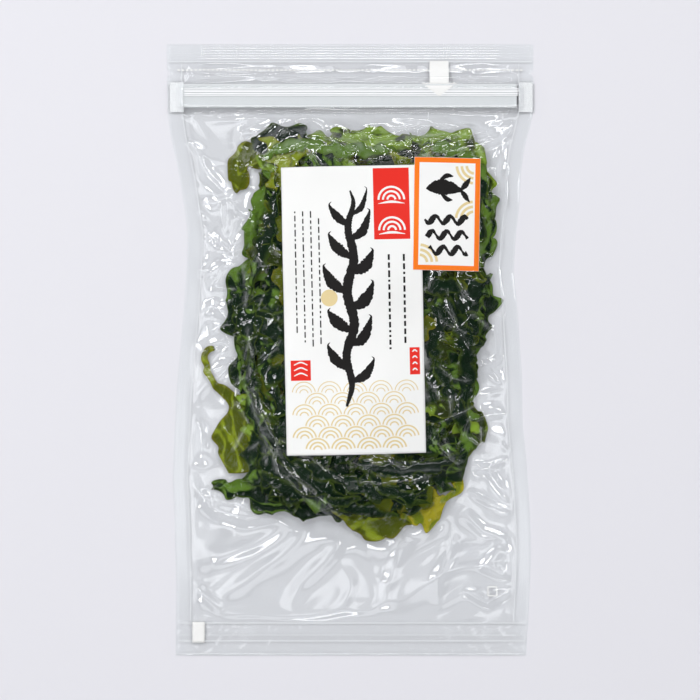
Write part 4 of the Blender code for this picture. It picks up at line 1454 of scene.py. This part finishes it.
class WAKAME_OT_prints(bpy.types.Operator):
    """Print the label's brushed frond, waves and seals, the sticker's frame and the film's tear line"""

    bl_idname = "wakame.prints"
    bl_label = "Prints"

    def execute(self, context):
        given = context.scene.wakame_papers
        if "paper_top" not in state:
            raise RuntimeError("the films come first")
        inks = {
            name: material_of(f"Print {name}", paper_material, tuple(colour), 0.4, 1.2)
            for name, colour in (
                ("black", given.ink), ("red", given.red), ("orange", given.orange), ("gold", given.gold),
                ("white", given.paper),
            )
        }
        self.label(inks)
        self.season(inks)
        self.film(inks)
        return {"FINISHED"}

    def label(self, inks):
        surface = state["paper_top"]
        gold = Print(LABEL)
        for row in range(6):
            v = -56.5 + 4.6 * row
            for k in range(6):
                u = -26 + 10.4 * k + (5.2 if row % 2 else 0)
                for radius in (1.7, 3.2, 4.7):
                    if u - radius > -27.6 and u + radius < 27.6:
                        gold.arc((u, v), radius, 8, 172, 0.34 - 0.03 * row)
        gold.disc((-9.7, 5.1), 3.4)
        gold.piece("print_gold", surface, COLOUR_LIFT, inks["gold"], "label_paper")
        black = Print(LABEL)
        stem = [(-3.5, -39, 0.5), (-1.2, -30, 1.3), (-3.2, -18, 1.7), (0.2, -6, 1.9), (-2.4, 8, 2.0),
                (0.6, 21, 1.8), (-1.6, 33, 1.5), (0.8, 43, 0.9), (-0.4, 48.5, 0.3)]
        black.stroke(stem, ragged=0.12, seed=1)
        lobes = [
            (-27, 1, 9.5, 1.9), (-22, -1, 8.0, 2.1), (-12, 1, 8.5, 2.2), (-7, -1, 10, 2.4), (3, 1, 9.5, 2.5),
            (9, -1, 9.5, 2.3), (17, 1, 8.5, 2.4), (23, -1, 9.5, 2.2), (31, 1, 8.5, 1.9), (36, -1, 8, 1.7),
            (41, 1, 6, 1.2),
        ]
        for k, (v, way, reach, half) in enumerate(lobes):
            root = float(np.interp(v, [p[1] for p in stem], [p[0] for p in stem]))
            tip = (root + way * reach, v + 6.5 + (k % 3))
            middle = (root + way * reach * 0.62, v + 0.6 + 1.3 * (k % 2))
            curl = (tip[0] - way * 0.8, tip[1] + 1.6)
            black.stroke(
                [(root, v - 2.2, 0.7), (*middle, half), (*tip, 0.25 * half), (*curl, 0.08)],
                ragged=0.14, seed=10 + k,
            )
        for u, top, foot, seed in ((14.7, 22.2, -16.4, 40), (20.8, 22.2, -12, 41)):
            self.dashes(black, u, top, foot, 0.42, seed)
        for k, u in enumerate((-13.4, -16.6, -19.8, -23)):
            self.dashes(black, u, 40.5 - 3 * (k == 0), -12.4 + 6 * (k == 3), 0.26, 50 + k)
        black.piece("print_black", surface, BLACK_LIFT, inks["black"], "label_paper")
        red = Print(LABEL)
        red.block((9.0, 28.3), (23.6, 57.4))
        red.block((-25.9, -28.2), (-17.8, -20.0))
        red.block((22.4, -26.6), (26.5, -15.6))
        red.piece("print_red", surface, COLOUR_LIFT, inks["red"], "label_paper")
        white = Print(LABEL)
        for v in (45.5, 33.0):
            for radius in (1.6, 3.4, 5.2):
                white.arc((16.3, v - 1), radius, 0, 180, 0.42)
            white.chevron((11, 16.3, 21.6), v - 2.6, 0.7, 0.1, 0.5)
        for k in range(3):
            white.chevron((-24.6, -21.8, -19.1), -26.3 + 2.2 * k, 1.1, 0.2, 0.3)
        for k in range(4):
            white.chevron((23.5, 24.5, 25.5), -24.9 + 2.5 * k, 0.8, 0.2, 0.32)
        white.piece("print_white", surface, WHITE_LIFT, inks["white"], "label_paper")

    def dashes(self, target, u, top, foot, half, seed):
        """A column of short rules of uneven length."""
        chance = np.random.default_rng(seed)
        v = top
        while v > foot:
            long = chance.uniform(0.7, 2.9)
            target.stroke([(u, v, half), (u, v - long, half)], step=0.5)
            v -= long + 1.0

    def season(self, inks):
        surface, lift = state["paper_top"], SEASON_LIFT
        orange = Print(SEASON)
        for low, high in (
            ((-13.4, 20.9), (13.4, 22.9)), ((-13.4, -22.9), (13.4, -20.9)),
            ((-13.4, -20.9), (-11.4, 20.9)), ((11.4, -20.9), (13.4, 20.9)),
        ):
            orange.block(low, high, 1.0)
        orange.piece("print_orange", surface, lift + COLOUR_LIFT, inks["orange"], "season_paper")
        gold = Print(SEASON)
        for centre, way in (((-11, -20), 0), ((11, 20), 180), ((11, -2), 90)):
            for radius in (3.2, 5.2, 7.2):
                gold.arc(centre, radius, way + 4, way + 86, 0.55)
        gold.piece("print_season_gold", surface, lift + COLOUR_LIFT, inks["gold"], "season_paper")
        black = Print(SEASON)
        fish = [(-8.6, 10.2, 0.2), (-6.2, 10.6, 2.0), (-2.6, 10.9, 3.1),
                (1.4, 10.6, 2.6), (4.6, 10.0, 1.2), (6.2, 9.8, 0.6)]
        black.stroke(fish, ragged=0.1, seed=71)
        for k, fin in enumerate((
            [(5.6, 9.8, 0.5), (7.6, 12.2, 1.2), (9.4, 15.0, 0.2)],
            [(5.6, 9.8, 0.5), (7.4, 7.4, 1.1), (9.2, 5.0, 0.2)],
            [(-3.4, 13.2, 0.4), (-0.4, 15.6, 1.0), (2.4, 15.4, 0.2)],
            [(-2.6, 8.4, 0.4), (0.2, 6.0, 0.9), (2.2, 5.8, 0.2)],
        )):
            black.stroke(fin, ragged=0.12, seed=72 + k)
        for k, v in enumerate((-2.4, -8.6, -14.8)):
            swell = [
                (u, v + 1.5 * math.sin(1.05 * u + 1.4 * k), 0.35 + 0.85 * abs(math.cos(0.52 * u + 0.7 * k)))
                for u in np.linspace(-9 + k, 8.6, 15)
            ]
            black.stroke(swell, ragged=0.12, seed=80 + k)
        black.piece("print_season_black", surface, lift + BLACK_LIFT, inks["black"], "season_paper")

    def film(self, inks):
        """Prints the tear line's dots, the arrow and the corner's outline on the film, in white."""
        white = Print()
        for x in np.arange(-70.5, 71, 1.75):
            white.block((x, 114.1), (x + 0.95, 114.75), 0.5)
        frame_marks = [(56.4, -100.4), (56.4, -96.8), (60, -96.8), (60, -100.4), (56.4, -100.4)]
        for start, end in zip(frame_marks, frame_marks[1:]):
            white.stroke([(*start, 0.22), (*end, 0.22)], step=0.6)
        shaft = ((118.2, 3.9), (116, 3.9), (112, 3.9), (109.05, 3.9))
        head = ((109.0, 7.2), (107.6, 5.4), (106.2, 3.6), (104.8, 1.8), (103.5, 0.1))
        for outline, step in ((shaft, 1.0), (head, 0.5)):
            white.stroke([(36.4, y, half) for y, half in outline], step=step)
        white.piece("print_tear_line", state["film_top"], FILM_LIFT, inks["white"], "film")


class WAKAME_OT_stage(bpy.types.Operator):
    """Set the floor, the soft lights and the camera that looks down on the pouch"""

    bl_idname = "wakame.stage"
    bl_label = "Stage"

    def execute(self, context):
        given = context.scene.wakame_stage
        scene = context.scene
        mesh = bpy.data.meshes.new("floor")
        signs = ((-1, -1), (1, -1), (1, 1), (-1, 1))
        corners = [(FLOOR_REACH * x, FLOOR_REACH * y, FLOOR_LEVEL) for x, y in signs]
        mesh.from_pydata(corners, [], [(0, 1, 2, 3)])
        floor = bpy.data.objects.new("floor", mesh)
        scene.collection.objects.link(floor)
        plain, _, _ = new_material("Floor", Base_Color=(*given.floor, 1), Roughness=0.7)
        mesh.materials.append(plain)
        world = bpy.data.worlds.new("Sky")
        scene.world = world
        world.use_nodes = True
        tree = world.node_tree
        sky = tree.nodes["Background"]
        sky.inputs["Color"].default_value = (0.95, 0.97, 1.0, 1)
        up = tree.nodes.new("ShaderNodeSeparateXYZ")
        tree.links.new(tree.nodes.new("ShaderNodeTexCoord").outputs["Generated"], up.inputs["Vector"])
        fade = ranged(tree, up.outputs["Z"], From_Max=0.72, To_Min=given.horizon, To_Max=given.sky)
        tree.links.new(fade, sky.inputs["Strength"])
        for name, place, size, share in LIGHTS:
            lamp = bpy.data.lights.new(name, "AREA")
            lamp.shape = "RECTANGLE"
            lamp.size, lamp.size_y = size
            lamp.energy = given.light * share
            holder = bpy.data.objects.new(name, lamp)
            holder.location = place
            holder.rotation_euler = (-Vector(place)).to_track_quat("-Z", "Y").to_euler()
            scene.collection.objects.link(holder)
        camera = bpy.data.cameras.new("camera")
        camera.sensor_width = SENSOR
        camera.lens = SENSOR * given.height / given.seen
        camera.clip_start = 0.05
        eye = bpy.data.objects.new("camera", camera)
        eye.location = (0, 0, given.height + EYE_RISE)
        scene.collection.objects.link(eye)
        scene.camera = eye
        scene.view_settings.view_transform = "Standard"
        return {"FINISHED"}


STEPS = ("fronds", "scraps", "films", "zip", "papers", "prints", "stage")
SETTINGS = (
    ("wakame_fronds", WakameFronds), ("wakame_films", WakameFilms), ("wakame_papers", WakamePapers),
    ("wakame_stage", WakameStage),
)


class WAKAME_PT_pouch(bpy.types.Panel):
    """The pouch's settings and steps"""

    bl_label = "Wakame pouch"
    bl_idname = "WAKAME_PT_pouch"
    bl_space_type = "VIEW_3D"
    bl_region_type = "UI"
    bl_category = "Wakame"

    def draw(self, context):
        for name, group in SETTINGS:
            box = self.layout.box()
            for key in group.__annotations__:
                box.prop(getattr(context.scene, name), key)
        for step in STEPS:
            self.layout.operator(f"wakame.{step}")


CLASSES = (
    WakameFronds, WakameFilms, WakamePapers, WakameStage, WAKAME_OT_fronds, WAKAME_OT_scraps, WAKAME_OT_films,
    WAKAME_OT_zip, WAKAME_OT_papers, WAKAME_OT_prints, WAKAME_OT_stage, WAKAME_PT_pouch,
)


def register():
    for kind in CLASSES:
        bpy.utils.register_class(kind)
    for name, group in SETTINGS:
        setattr(bpy.types.Scene, name, PointerProperty(type=group))


def unregister():
    for name, _ in SETTINGS:
        delattr(bpy.types.Scene, name)
    for kind in reversed(CLASSES):
        bpy.utils.unregister_class(kind)


def main():
    register()
    for step in STEPS:
        getattr(bpy.ops.wakame, step)()


if __name__ == "__main__":
    main()
